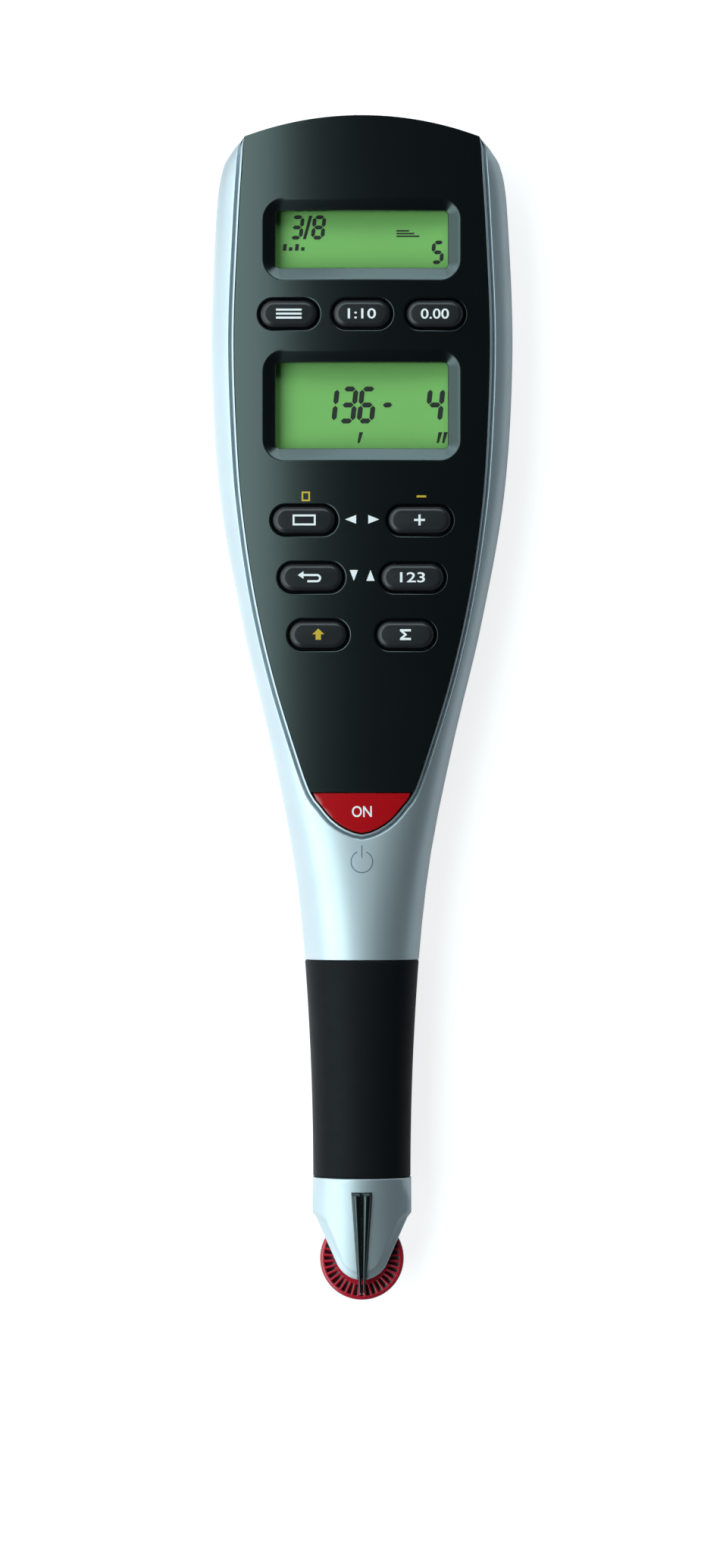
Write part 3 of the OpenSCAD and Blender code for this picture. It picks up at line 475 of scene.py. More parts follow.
def to_ring(point, hole, old_inset, new_inset):
    """Moves a point from one ring of a hole to the same place on another."""
    old_corner, old_r = ring_of(hole, old_inset)
    new_corner, new_r = ring_of(hole, new_inset)
    for axis, middle in enumerate((hole.x, hole.y)):
        reach = abs(point[axis] - middle)
        past = reach - old_corner[axis]
        if past > 0:
            reach = new_corner[axis] + past * new_r / old_r
        else:
            reach *= new_corner[axis] / old_corner[axis]
        point[axis] = middle + math.copysign(reach, point[axis] - middle)


def inset_at(point, hole):
    """Inset of the ring that a point lies on, found by halving."""
    low, high = 0, hole.profile[-1][0]
    for step in range(fit_steps):
        middle = (low + high) / 2
        if beyond_ring(point, hole, middle) > 0:
            high = middle
        else:
            low = middle
    return low


def face_up(piece):
    """Merges the corners of a flat mesh and turns its faces to the front."""
    edit_all(piece)
    bpy.ops.mesh.remove_doubles(threshold=merge_gap)
    bpy.ops.mesh.normals_make_consistent(inside=False)
    leave_edit()
    if piece.data.polygons[0].normal.z < 0:
        edit_all(piece)
        bpy.ops.mesh.flip_normals()
        leave_edit()


def flat_fill(name, loops):
    """A flat mesh bounded by the first loop, with the other loops as holes, in mm."""
    outline = bpy.data.curves.new(name, "CURVE")
    outline.dimensions = "2D"
    outline.fill_mode = "BOTH"
    for loop in loops:
        spline = outline.splines.new("POLY")
        spline.points.add(len(loop) - 1)
        spline.use_cyclic_u = True
        for knot, (x, y) in zip(spline.points, loop):
            knot.co = (x, y, 0, 1)
    piece = bpy.data.objects.new(name, outline)
    bpy.context.scene.collection.objects.link(piece)
    activate(piece)
    bpy.ops.object.convert(target="MESH")
    piece = bpy.context.object
    face_up(piece)
    return piece


def select_none(piece, kind):
    """Leaves a piece in object mode with nothing of it selected."""
    activate(piece)
    bpy.ops.object.mode_set(mode="EDIT")
    bpy.ops.mesh.select_mode(type=kind)
    bpy.ops.mesh.select_all(action="DESELECT")
    leave_edit()


def step_in(piece, hole):
    """Adds flat rings inside a hole, each further in than the one before."""
    reached = 0
    for inset, _ in hole.profile:
        select_none(piece, "EDGE")
        on_edge = set()
        for v in piece.data.vertices:
            if abs(beyond_ring(v.co, hole, reached)) < ring_slack:
                on_edge.add(v.index)
        uses = {}
        for face in piece.data.polygons:
            for key in face.edge_keys:
                uses[key] = uses.get(key, 0) + 1
        for edge in piece.data.edges:
            a, b = edge.vertices
            edge.select = a in on_edge and b in on_edge and uses.get(edge.key, 0) == 1
        bpy.ops.object.mode_set(mode="EDIT")
        bpy.ops.mesh.extrude_edges_move()
        leave_edit()
        for v in piece.data.vertices:
            if v.select:
                to_ring(v.co, hole, reached, inset)
        reached = inset


def cut_at(piece, axis, places):
    """Cuts all faces at the given places along an axis."""
    across = Vector((1 - axis, axis, 0))
    for place in places:
        edit_all(piece)
        bpy.ops.mesh.bisect(plane_co=across * place, plane_no=across)
        leave_edit()


def cut_strips(piece, half):
    """Cuts a flat mesh into strips, so that it can follow the crown."""
    count = int(half / strip_w)
    cut_at(piece, 0, [step * strip_w for step in range(-count, count + 1)])


def raise_flat(piece, height_at, wall):
    """Lifts a flat mesh to its height, in metres, with a wall behind its front."""
    for v in piece.data.vertices:
        v.co.z = height_at(v.co)
        v.co *= mm
    activate(piece)
    solid = piece.modifiers.new("wall", "SOLIDIFY")
    solid.thickness = wall * mm
    solid.offset = -1
    bpy.ops.object.modifier_apply(modifier=solid.name)


def true_crown(piece):
    """Gives the crowned front the exact normals of its cylinder."""
    normals = [Vector((0, 0, 0))] * len(piece.data.loops)
    for face in piece.data.polygons:
        if face.normal.z < front_facing:
            continue
        corners = [piece.data.vertices[i].co / mm for i in face.vertices]
        if all(abs(c.z - crown_at(c.x)) < ring_slack for c in corners):
            for loop, c in zip(face.loop_indices, corners):
                normals[loop] = Vector((c.x, 0, c.z - crown_z + crown_radius)).normalized()
    piece.data.normals_split_custom_set(normals)


top_arc_r = (face_side[-1].x ** 2 + crown_rise ** 2) / (2 * crown_rise)
top_arc_half = math.asin(face_side[-1].x / top_arc_r)
side_points = [face_side[index] for index in stations if face_side[index].y > seam_y]
seam_x = next(p.x for p in face_side if p.y >= seam_y)
right_edge = [(seam_x, seam_y)] + [(p.x, p.y) for p in side_points]
top_edge = []
for step in range(1, arc_steps):
    a = blend_of(top_arc_half, -top_arc_half, step / arc_steps)
    top_edge.append((top_arc_r * math.sin(a), top_y + crown_rise - top_arc_r + top_arc_r * math.cos(a)))
left_edge = [(-x, y) for x, y in reversed(right_edge)]
holes = []
for window_y, window_h in window_plan:
    frame_w = window_w + 2 * window_bevel
    frame_h = window_h + 2 * window_bevel
    holes.append(Hole(0, window_y, frame_w, frame_h, bevel_corner, window_corner, window_profile))
for key_x, key_y, key_w in key_plan.values():
    room = 2 * (key_gap + rim_r)
    rim_corner = (key_h + room) / 2 - rim_flat
    holes.append(Hole(key_x, key_y, key_w + room, key_h + room, rim_corner, rim_corner - rim_r, rim_profile))
face_loop = right_edge + top_edge + left_edge
face_plate = flat_fill("face_plate", [face_loop] + [round_box(hole) for hole in holes])
for hole in holes:
    step_in(face_plate, hole)
cut_strips(face_plate, face_w / 2)
cut_at(face_plate, 1, [end_y])


def face_height(point):
    """Height of the plate: the crown, less the drop of a hole's frame or rim."""
    for hole in holes:
        if beyond_ring(point, hole, 0) > -edge_slack:
            continue
        inset = inset_at(point, hole)
        low_in, low_drop = 0, 0
        for high_in, high_drop in hole.profile:
            if inset <= high_in + ring_slack:
                break
            low_in, low_drop = high_in, high_drop
        if high_drop is None:
            return pane_z
        share = min(1, (inset - low_in) / (high_in - low_in))
        return crown_at(point.x) - blend_of(low_drop, high_drop, share)
    return crown_at(point.x)


raise_flat(face_plate, face_height, face_wall)

# The thick end of the head grows down from the underside, and follows the rounded back
end_share = 1
for low_z in end_steps:
    below = max(0, mid_z - low_z) / back_depth
    low_share = (1 - below ** head_squareness) ** (1 / head_squareness)
    select_none(face_plate, "FACE")
    for face in face_plate.data.polygons:
        face.select = face.center.y > end_y * mm and face.normal.z < back_facing
    bpy.ops.object.mode_set(mode="EDIT")
    bpy.ops.mesh.extrude_region_move()
    leave_edit()
    for v in face_plate.data.vertices:
        if v.select:
            v.co.z = low_z * mm
            v.co.x *= low_share / end_share
    end_share = low_share

gloss_black = finish_of(
    "gloss_black", black_colour, black_shade, cloud_scale=60, roughness=0.24, spread=0.015,
    grain=0.004, grain_scale=5000,
    extra={"Specular IOR Level": 0.65, "Specular Tint": black_gleam,
           "Coat Weight": 0.25, "Coat Roughness": 0.2})
finish_piece(face_plate, gloss_black, "case", "gloss_black", "faceplate")
true_crown(face_plate)

# Keys: nine satin black caps with a rounded rim, a flange under the plate and a
# plunger that presses the silicone web. Each rides in its own hole.
cap_round = 0.85
cap_steps = 7
cap_flat = math.radians(2)
cap_slack = 0.01
key_colour = (0.016, 0.017, 0.019, 1)
key_shade = (0.011, 0.012, 0.014, 1)


def round_where(piece, chosen, radius, steps):
    """Rounds the edges that are chosen by the places of their two ends."""
    select_none(piece, "EDGE")
    for edge in piece.data.edges:
        edge.select = chosen(*(piece.data.vertices[end].co for end in edge.vertices))
    bpy.ops.object.mode_set(mode="EDIT")
    bpy.ops.mesh.bevel(offset=radius * mm, segments=steps, profile=0.5, clamp_overlap=True)
    leave_edit()


key_satin = finish_of(
    "key_satin", key_colour, key_shade, cloud_scale=400, roughness=0.3, spread=0.04,
    grain=0.02, grain_scale=4000)
for key in key_plan:
    cap = copy_of(key, key + "_cap")
    edit_all(cap)
    bpy.ops.mesh.dissolve_limited(angle_limit=cap_flat)
    leave_edit()
    cap_z = max(v.co.z for v in cap.data.vertices) - cap_slack * mm
    round_where(cap, lambda a, b: min(a.z, b.z) > cap_z, cap_round, cap_steps)
    finish_piece(cap, key_satin, key + "_body", "key_plastic", key)

# Red key: the pressing end of the faceplate's point, moulded in red.
# It fills the outline below the seam and follows the same crown.
on_gap = 0.15
on_low_z = 13.6
on_round = 0.22
red_colour = (0.44, 0.003, 0.007, 1)
red_shade = (0.37, 0.002, 0.005, 1)


def round_edges(piece, width, segments, angle):
    """Rounds all edges that turn by more than an angle, in degrees."""
    activate(piece)
    bevel = piece.modifiers.new("edges", "BEVEL")
    bevel.width = width * mm
    bevel.segments = segments
    bevel.limit_method = "ANGLE"
    bevel.angle_limit = math.radians(angle)
    bevel.use_clamp_overlap = True
    bpy.ops.object.modifier_apply(modifier=bevel.name)


tip_points = []
for number in range(len(stations)):
    point, outward = face_edge(number)
    inner = point - outward * on_gap
    if inner.y < seam_y - on_gap:
        tip_points.append(inner)
tip_x = blend_of(tip_points[-1].x, seam_x, 0.5)
red_edge = [(p.x, p.y) for p in tip_points] + [(tip_x, seam_y - on_gap)]
red_loop = red_edge + [(-x, y) for x, y in reversed(red_edge[1:])]
red_key = flat_fill("red_key", [red_loop])
cut_strips(red_key, tip_x)
raise_flat(red_key, lambda point: crown_at(point.x), crown_z - on_low_z)
round_edges(red_key, on_round, segments=3, angle=60)
red_gloss = finish_of(
    "red_gloss", red_colour, red_shade, cloud_scale=80, roughness=0.2, spread=0.02,
    grain=0.004, grain_scale=5000, extra={"Coat Weight": 0.4, "Coat Roughness": 0.14})
finish_piece(red_key, red_gloss, "on_key_body", "red_key_plastic", "on_key")

# Lenses: clear panes that lie on the inner edge of each window, from behind.
# They are polished acrylic, thin enough to show nothing but a slight gleam.
pane_colour = (0.03, 0.04, 0.03, 1)
pane_shade = (0.02, 0.03, 0.02, 1)


def dress(node, material):
    """Gives a node of the frame its finish and leaves its mesh as it is."""
    held = frame["nodes"][node].data
    held.materials.clear()
    held.materials.append(material)


pane = finish_of(
    "pane", pane_colour, pane_shade, cloud_scale=50, roughness=0.05, spread=0.01,
    grain=0.002, grain_scale=900, extra={"Alpha": 0.04})
for node in ("upper_lens", "lower_lens"):
    dress(node, pane)

# Displays: reflective liquid crystal cells, a pale green sheet behind glass.
# The lit segments are dark, slanted, and lie just over the green sheet.
green_colour = (0.235, 0.57, 0.14, 1)
green_shade = (0.22, 0.54, 0.13, 1)
ink_colour = (0.006, 0.010, 0.006, 1)
ink_shade = (0.010, 0.014, 0.009, 1)
segment_t = 0.02
segment_lift = 0.02
digit_slant = 0.11
stroke_gap = 0.12
# Strokes of each digit, lettered round from the top one, with g in the middle
digit_strokes = {"1": "bc", "3": "abgcd", "4": "fgbc", "5": "afgcd", "6": "afgecd", "8": "abcdefg", "-": "g"}
# Width, height and stroke of the digits
small_digit = (1.5, 3.2, 0.6)
count_digit = (1.4, 3.1, 0.6)
large_digit = (1.95, 5.0, 0.78)
large_dash = (1.7, 5.0, 0.78)
small_y = 73.85
large_y = 45.15
# Digit, its lower left corner and its size
upper_digits = [
    ("3", -11.1, small_y, small_digit), ("8", -7.7, small_y, small_digit), ("5", 11, 70, count_digit),
]
lower_digits = [
    ("1", -6.35, large_y, large_digit), ("3", -3.4, large_y, large_digit), ("6", -0.45, large_y, large_digit),
    ("-", 2.9, large_y, large_dash), ("4", 10.2, large_y, large_digit),
]
slash = [(-9.25, 73.6), (-8.75, 73.6), (-7.75, 77.3), (-8.25, 77.3)]
tick_place = (-12.4, 71.8)
tick_pitch = 0.95
tick_w = 0.55
tick_heights = (1.05, 0.55, 1.05, 0.55)
stair_place = (5.4, 73.95)
stair_pitch = 0.42
stair_widths = (3.6, 2.8, 2)
stair_t = 0.24
unit_mark = [(-0.7, 41.7), (-0.35, 41.7), (0.2, 43.4), (-0.4, 43.4)]
unit_shifts = (0, 12.4, 13.25)


def bar(a, b, thick):
    """A stroke with pointed ends between two points."""
    run = (b - a).normalized()
    side = Vector((-run.y, run.x)) * thick / 2
    tip = run * thick / 2
    return [a, a + tip + side, b - tip + side, b, b - tip - side, a + tip - side]


def digit_loops(digit, x, y, size):
    """Strokes of a digit whose lower left corner is at x, y."""
    w, h, thick = size
    ends = {
        "a": ((0, h), (w, h)), "g": ((0, h / 2), (w, h / 2)), "d": ((0, 0), (w, 0)),
        "f": ((0, h), (0, h / 2)), "b": ((w, h), (w, h / 2)),
        "e": ((0, h / 2), (0, 0)), "c": ((w, h / 2), (w, 0)),
    }
    loops = []
    for stroke in digit_strokes[digit]:
        start, stop = (Vector(end) for end in ends[stroke])
        run = (stop - start).normalized() * stroke_gap * thick
        loops.append(bar(start + run, stop - run, thick))
    return [[(x + p.x + digit_slant * p.y, y + p.y) for p in loop] for loop in loops]


def slant_box(x, y, w, h):
    return [(x + digit_slant * dy + dx, y + dy) for dx, dy in ((0, 0), (w, 0), (w, h), (0, h))]


def dark_segments(name, node, loops):
    piece = flat_fill(name, loops)
    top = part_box(node)[1].z / mm + segment_lift
    raise_flat(piece, lambda point: top, segment_t)
    finish_piece(piece, segment_ink, "case", "chip_black")


display_green = finish_of(
    "display_green", green_colour, green_shade, cloud_scale=35, roughness=0.5, spread=0.04,
    grain=0.006, grain_scale=2500)
segment_ink = finish_of(
    "segment_ink", ink_colour, ink_shade, cloud_scale=300, roughness=0.55, spread=0.05,
    grain=0.004, grain_scale=3000)
for node in ("upper_display", "lower_display"):
    dress(node, display_green)

upper_loops = [slash]
for digit in upper_digits:
    upper_loops += digit_loops(*digit)
for step, tick_h in enumerate(tick_heights):
    upper_loops.append(slant_box(tick_place[0] + tick_pitch * step, tick_place[1], tick_w, tick_h))
for step, stair_w in enumerate(stair_widths):
    upper_loops.append(slant_box(stair_place[0], stair_place[1] + stair_pitch * step, stair_w, stair_t))
dark_segments("upper_segments", "upper_display", upper_loops)

lower_loops = []
for digit in lower_digits:
    lower_loops += digit_loops(*digit)
for shift in unit_shifts:
    lower_loops.append([(x + shift, y) for x, y in unit_mark])
dark_segments("lower_segments", "lower_display", lower_loops)

# Grip: a smooth rubber sleeve pushed over the spigot between head and nose.
# It narrows towards the nose, and both rims are slightly rounded.
grip_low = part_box("grip_sleeve")[0].y / mm
grip_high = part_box("grip_sleeve")[1].y / mm
grip_end_w = 15.3
grip_end_depth = 13.2
grip_bore = 11.3
grip_columns = 96
grip_rings = 36
rubber_colour = (0.007, 0.008, 0.009, 1)
rubber_shade = (0.005, 0.006, 0.007, 1)
# Rise from the end and inset of the rounded rims
grip_rim = [(0.0, 0.30), (0.05, 0.14), (0.14, 0.05), (0.30, 0.0)]


def grip_section(y, inset, angle):
    share = (y - grip_low) / (grip_high - grip_low)
    bow = share * share
    width = blend_of(grip_end_w, neck_w, bow) / 2 - inset
    depth = blend_of(grip_end_depth, neck_depth, bow) / 2 - inset
    x, z = section_point(angle, width, depth, neck_squareness)
    return Vector((x, y, mid_z + z))


grip_rows = [(grip_low + rise, inset) for rise, inset in grip_rim]
grip_rows += [(blend_of(grip_low, grip_high, step / grip_rings), 0) for step in range(1, grip_rings)]
grip_rows += [(grip_high - rise, inset) for rise, inset in reversed(grip_rim)]
bore_rows = [grip_high, grip_low]


def grip_place(column, row):
    """Knot of the sleeve: its outside first, then its bore."""
    angle = 2 * math.pi * (column % grip_columns) / grip_columns
    row = row % (len(grip_rows) + len(bore_rows))
    if row < len(grip_rows):
        return grip_section(*grip_rows[row], angle)
    return Vector((grip_bore / 2 * math.cos(angle), bore_rows[row - len(grip_rows)],
                   mid_z + grip_bore / 2 * math.sin(angle)))


grip_rubber = finish_of(
    "grip_rubber", rubber_colour, rubber_shade, cloud_scale=500, roughness=0.5, spread=0.05,
    grain=0.05, grain_scale=3500, extra={"IOR": 1.18})
grip = skin("grip", grip_columns, len(grip_rows) + len(bore_rows), grip_place)
finish_piece(grip, grip_rubber, "case", "grip_rubber", "grip_sleeve")

# Nose: two silver painted halves screwed together from behind, round the wheel.
# The front half has a raised shield that tapers to the tip over a lower rim.
nose_top_y = grip_low - shell_gap
nose_tip_y = -89.4
nose_w = 15.5
nose_depth = 12.8
slope_angle = math.radians(10.62)
nose_slope = math.tan(slope_angle)
nose_crown_r = 12
nose_squareness = 2.6
blend_len = 3.6
nose_edge = 0.25
edge_drop = 0.2
nose_straight = 5.4
nose_shoulder = 0.62
shoulder_drop = 0.806
nose_tip_r = 4.3
tip_angle = math.radians(-24)
tip_steps = 28
side_steps = 14
edge_steps = 4
taper_steps = 18
shield_fade = 1.6
ledge_w = 0.72
# Inset and depth below the shield, from the split up: the rim's ledge, then the shield's bevel
rim_rows = [(0, None), (0, 0.3), (0.02, 0.22), (0.07, 0.17), (0.14, 0.15)]
bevel_rows = [(0.02, 0.145), (0.06, 0.13), (0.5, 0.015), (0.55, 0.005), (0.62, 0)]
side_inset = 0.2
nose_profile = rim_rows + bevel_rows
split_rise = 1.42
low_rise = 0.3
slot_top_y = -79.14
nose_fill_rings = 12
nose_slice = 1


def nose_outline():
    """Right-hand half of the outline, from the top edge down to the tip."""
    half = nose_w / 2
    shoulder_y = nose_top_y - nose_straight
    tip_y = nose_tip_y + nose_tip_r
    points = [Vector((half, nose_top_y - nose_edge * step / edge_steps)) for step in range(edge_steps)]
    start_y = nose_top_y - nose_edge
    points += [Vector((half, blend_of(start_y, shoulder_y, step / side_steps))) for step in range(side_steps)]
    points.append(Vector((half, shoulder_y)))
    low = Vector((half - nose_shoulder, shoulder_y - shoulder_drop))
    start = Vector((nose_tip_r * math.cos(tip_angle), tip_y + nose_tip_r * math.sin(tip_angle)))
    points += [low.lerp(start, step / taper_steps) for step in range(taper_steps)]
    for step in range(tip_steps + 1):
        a = blend_of(tip_angle, -math.pi / 2, step / tip_steps)
        points.append(Vector((nose_tip_r * math.cos(a), tip_y + nose_tip_r * math.sin(a))))
    return points


nose_side = nose_outline()
nose_last = len(nose_side) - 1


def nose_height(x, y):
    """Height of the shield over the split: round like the grip, then sloped and crowned."""
    depth = nose_depth / 2 - (nose_top_y - y) * nose_slope
    drop = edge_drop * max(0, 1 - (nose_top_y - y) / nose_edge) ** 2
    crowned = depth - nose_crown_r + math.sqrt(nose_crown_r ** 2 - x * x)
    share = max(0, 1 - (abs(x) / (nose_w / 2)) ** nose_squareness)
    rounded = min(crowned, depth * share ** (1 / nose_squareness))
    return blend_of(rounded, crowned, ease((nose_top_y - y) / blend_len)) - drop


def nose_inward(number):
    """Way from a point of the outline to the inside."""
    return Vector((0, 1)) if number == nose_last else right_of(nose_side, number)


def nose_point(number, row):
    edge = nose_side[number]
    inset, depth = nose_profile[row]
    if depth is None:
        return Vector((edge.x, edge.y, mid_z))
    share = ease((nose_top_y - nose_straight - edge.y) / shield_fade)
    if row < len(rim_rows):
        inset *= blend_of(side_inset, 1, share)
    else:
        inset += blend_of(rim_rows[-1][0] * side_inset, ledge_w * share, share)
    point = edge + nose_inward(number) * inset
    lowest = split_rise if edge.y < slot_top_y else low_rise
    rise = max(nose_height(point.x, point.y) - depth, lowest)
    return Vector((point.x, point.y, mid_z + rise))


nose_rows = len(nose_profile) + nose_fill_rings


def nose_place(column, row):
    """Knot of the front half: rim and bevel first, then rows to the middle."""
    number = abs(column - nose_last)
    mirror = -1 if column < nose_last else 1
    number = nose_last - number
    if row < len(nose_profile):
        point = nose_point(number, row)
    else:
        rim = nose_point(number, len(nose_profile) - 1)
        x = rim.x * (1 - (row - len(nose_profile) + 1) / nose_fill_rings)
        point = Vector((x, rim.y, mid_z + nose_height(x, rim.y)))
    return Vector((mirror * point.x, point.y, point.z))


def cut_away(piece, cutter):
    """Cuts one closed mesh out of another."""
    activate(piece)
    cut = piece.modifiers.new("cut", "BOOLEAN")
    cut.operation = "DIFFERENCE"
    cut.solver = "EXACT"
    cut.object = cutter
    bpy.ops.object.modifier_apply(modifier=cut.name)
    bpy.data.objects.remove(cutter)


slope_turn = Matrix.Rotation(slope_angle, 4, "X")
slope_place = Matrix.Translation((0, nose_top_y, mid_z + nose_depth / 2)) @ slope_turn
pointer_top = -2.3
pointer_tip = -18.62
pointer_half = 1.55
pointer_tip_half = 0.43
recess_gap = 0.1
recess_depth = 0.6
recess_top = 2
slot_low_z = 6.6
slot_high_z = 9.4

nose_shell = skin("nose_shell", 2 * nose_last, nose_rows, nose_place)
recess = flat_fill("recess", [[
    (-pointer_half - recess_gap, pointer_top + recess_gap),
    (pointer_half + recess_gap, pointer_top + recess_gap),
    (pointer_tip_half + recess_gap, pointer_tip - recess_gap),
    (-pointer_tip_half - recess_gap, pointer_tip - recess_gap),
]])
raise_flat(recess, lambda point: recess_top, recess_top + recess_depth)
for v in recess.data.vertices:
    v.co = (slope_place @ (v.co / mm)) * mm
cut_away(nose_shell, recess)
bpy.ops.object.select_all(action="DESELECT")
bpy.ops.mesh.primitive_cube_add(size=1)
slot = bpy.context.object
for v in slot.data.vertices:
    v.co.x = math.copysign(nose_w, v.co.x) * mm
    v.co.y = (slot_top_y if v.co.y > 0 else nose_tip_y - nose_w) * mm
    v.co.z = (slot_high_z if v.co.z > 0 else slot_low_z) * mm
cut_away(nose_shell, slot)
finish_piece(nose_shell, silver_paint, "case", "silver_paint", "nose_front")
nose_back = copy_of("nose_rear", "nose_back")

# The back half is cut along a grid, so that its shading by corner stays local
for axis in range(2):
    places = [v.co[axis] for v in nose_back.data.vertices]
    low = min(places)
    count = math.ceil((max(places) - low) / (nose_slice * mm))
    cut_at(nose_back, axis, [low + step * nose_slice * mm for step in range(1, count)])
finish_piece(nose_back, silver_paint, "case", "silver_paint", "nose_rear")
even_shading(nose_back)

# Pointer: two black ribs let into the shield, side by side, which show where the
# wheel touches the drawing. Moulded in the same gloss black as the faceplate.
pointer_rise = 0.75
pointer_root = 0.55
pointer_split = 0.08
rib_power = 2.4
rib_columns = 48
rib_rows = 28
lobe = 0.6
least_swell = 0.02
end_narrow = 0.7


def rib(name, side):
    def place(column, row):
        share = column / rib_columns
        along = blend_of(pointer_top, pointer_tip, share)
        wide = blend_of(pointer_half, pointer_tip_half, share)
        end_share = min(1, min(along - pointer_tip, pointer_top - along) / lobe)
        swell = math.sqrt(max(least_swell, 1 - (1 - end_share) ** 2))
        angle = 2 * math.pi * (row % rib_rows) / rib_rows
        height = pointer_rise * swell if angle < math.pi else pointer_root
        half = (wide - pointer_split) / 2
        x, z = section_point(angle, half * blend_of(end_narrow, 1, swell), height, rib_power)
        return slope_place @ Vector((side * (pointer_split + half + x), along, z))
    return skin(name, rib_columns, rib_rows, place)


ribs = rib("pointer_ribs", 1)
other_rib = rib("other_rib", -1)
activate(ribs)
other_rib.select_set(True)
bpy.ops.object.join()
finish_piece(ribs, gloss_black, "case", "gloss_black", "pointer")

# Wheel: a clear red plastic disc that turns on a steel axle in the nose's slot.
# A ring of fine ribs on both faces lets light through for the counter.
wheel_colour = (0.50, 0.012, 0.032, 1)
wheel_shade = (0.42, 0.007, 0.022, 1)
# Colour of the painted shade deep in the pockets, near the disc's middle plane
painted_pocket_shade = (0.05, 0.001, 0.005, 1)
pocket_z = 0.5
rib_z = 0.9
rim_start = 6.5
rim_round = 0.5
rib_round = 0.12
wheel_middle = (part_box("measuring_wheel")[0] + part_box("measuring_wheel")[1]) / 2
wheel = copy_of("measuring_wheel", "wheel_disc")


def on_rim(a, b):
    """True for an edge that runs round the rolling rim."""
    reach = min((a - wheel_middle).xy.length, (b - wheel_middle).xy.length)
    return reach > rim_start * mm and abs(a.z - b.z) < rib_round * mm


round_where(wheel, on_rim, rim_round, steps=5)
round_edges(wheel, rib_round, segments=3, angle=40)


def math_of(tree, operation, *values):
    math_node = tree.nodes.new("ShaderNodeMath")
    math_node.operation = operation
    for socket, value in zip(math_node.inputs, values):
        feed(tree, socket, value)
    return math_node.outputs["Value"]


def axis_of(tree, place, axis):
    split = tree.nodes.new("ShaderNodeSeparateXYZ")
    feed(tree, split.inputs["Vector"], place)
    return split.outputs[axis]


wheel_red = finish_of(
    "wheel_red", wheel_colour, wheel_shade, cloud_scale=300, roughness=0.2, spread=0.03,
    grain=0.004, grain_scale=2500, extra={"Coat Weight": 0.15, "Coat Roughness": 0.08})

# Painted shade: the clear red is coloured darker the nearer a face lies to the disc's middle plane, deep in
# the pockets between the ribs
wheel_tree = wheel_red.node_tree
rib_tint = wheel_tree.nodes["Mix"].outputs["Result"]
wheel_place = wheel_tree.nodes["Texture Coordinate"].outputs["Object"]
off_middle = math_of(wheel_tree, "SUBTRACT", axis_of(wheel_tree, wheel_place, "Z"), mid_z * mm)
rib_share = ramp_of(wheel_tree, math_of(wheel_tree, "ABSOLUTE", off_middle), pocket_z * mm, rib_z * mm, 0, 1)
tint_with_painted_shade = mix_of(wheel_tree, rib_share, painted_pocket_shade, rib_tint)
feed(wheel_tree, wheel_tree.nodes["Principled BSDF"].inputs["Base Color"], tint_with_painted_shade)
finish_piece(wheel, wheel_red, "wheel", "clear_red", "measuring_wheel")

# Battery door: a silver painted slide on the back, with thumb ridges.
# It is moulded like the shells, and its two tongues run in the rear housing.
door_round = 0.1
door = copy_of("battery_door", "door_panel")
round_edges(door, door_round, segments=2, angle=50)
finish_piece(door, silver_paint, "door", "silver_paint", "battery_door")

# What the shells hold: boards, chips, cells, contacts, webs, screws and the axle.
# Each takes the finish of its own stuff: solder mask, moulded epoxy, plated steel,
# sprung brass, silicone or amber film.
inner_materials = {}
# Colour, shade, size of clouds, roughness and its spread, grain and its size, and share of metal
inner_finishes = {
    "circuit_board": ((0.02, 0.16, 0.05, 1), (0.03, 0.20, 0.07, 1), 150, 0.42, 0.06, 0.05, 1500, 0),
    "chip_black": ((0.022, 0.022, 0.024, 1), (0.035, 0.035, 0.037, 1), 400, 0.55, 0.06, 0.08, 3000, 0),
    "switch_grey": ((0.30, 0.30, 0.31, 1), (0.25, 0.25, 0.26, 1), 300, 0.45, 0.05, 0.05, 3000, 0),
    "capacitor_tan": ((0.42, 0.28, 0.15, 1), (0.36, 0.23, 0.12, 1), 500, 0.5, 0.05, 0.06, 3000, 0),
    "silicone": ((0.52, 0.52, 0.50, 1), (0.46, 0.46, 0.44, 1), 200, 0.6, 0.05, 0.05, 2500, 0),
    "steel": ((0.62, 0.62, 0.63, 1), (0.52, 0.52, 0.54, 1), 600, 0.3, 0.06, 0.04, 4000, 1),
    "contact_brass": ((0.72, 0.52, 0.22, 1), (0.62, 0.43, 0.17, 1), 500, 0.3, 0.06, 0.04, 4000, 1),
    "flex_amber": ((0.52, 0.23, 0.05, 1), (0.44, 0.18, 0.04, 1), 200, 0.35, 0.05, 0.03, 2000, 0),
}
for slot, (*look, metal) in inner_finishes.items():
    inner_materials[slot] = finish_of(slot, *look, extra={"Metallic": metal})
for part in frame["record"]["subparts"]:
    if part["material_slot"] in inner_materials:
        dress(part["node"], inner_materials[part["material_slot"]])

# Printed marks: thin white and yellow ink on the keys and the faceplate.
# They are plain signs and numbers; each mark on a key moves with that key.
ink_t = 0.03
ink_lift = 0.015
legend_h = 1.6
# Middle, width and height of the mark on the red key
on_box = (0, -16, 3.1, 1.75)
text_weight = 0.012
text_steps = 4
white_colour = (0.86, 0.87, 0.87, 1)
white_shade = (0.80, 0.81, 0.82, 1)
yellow_colour = (0.60, 0.40, 0.025, 1)
yellow_shade = (0.54, 0.35, 0.02, 1)


def ink_of(name, colour, shade):
    return finish_of(
        name, colour, shade, cloud_scale=300, roughness=0.5, spread=0.05, grain=0.01, grain_scale=3000)


def printed(piece, height_at, material, body, slot):
    raise_flat(piece, height_at, ink_t)
    finish_piece(piece, material, body, slot)


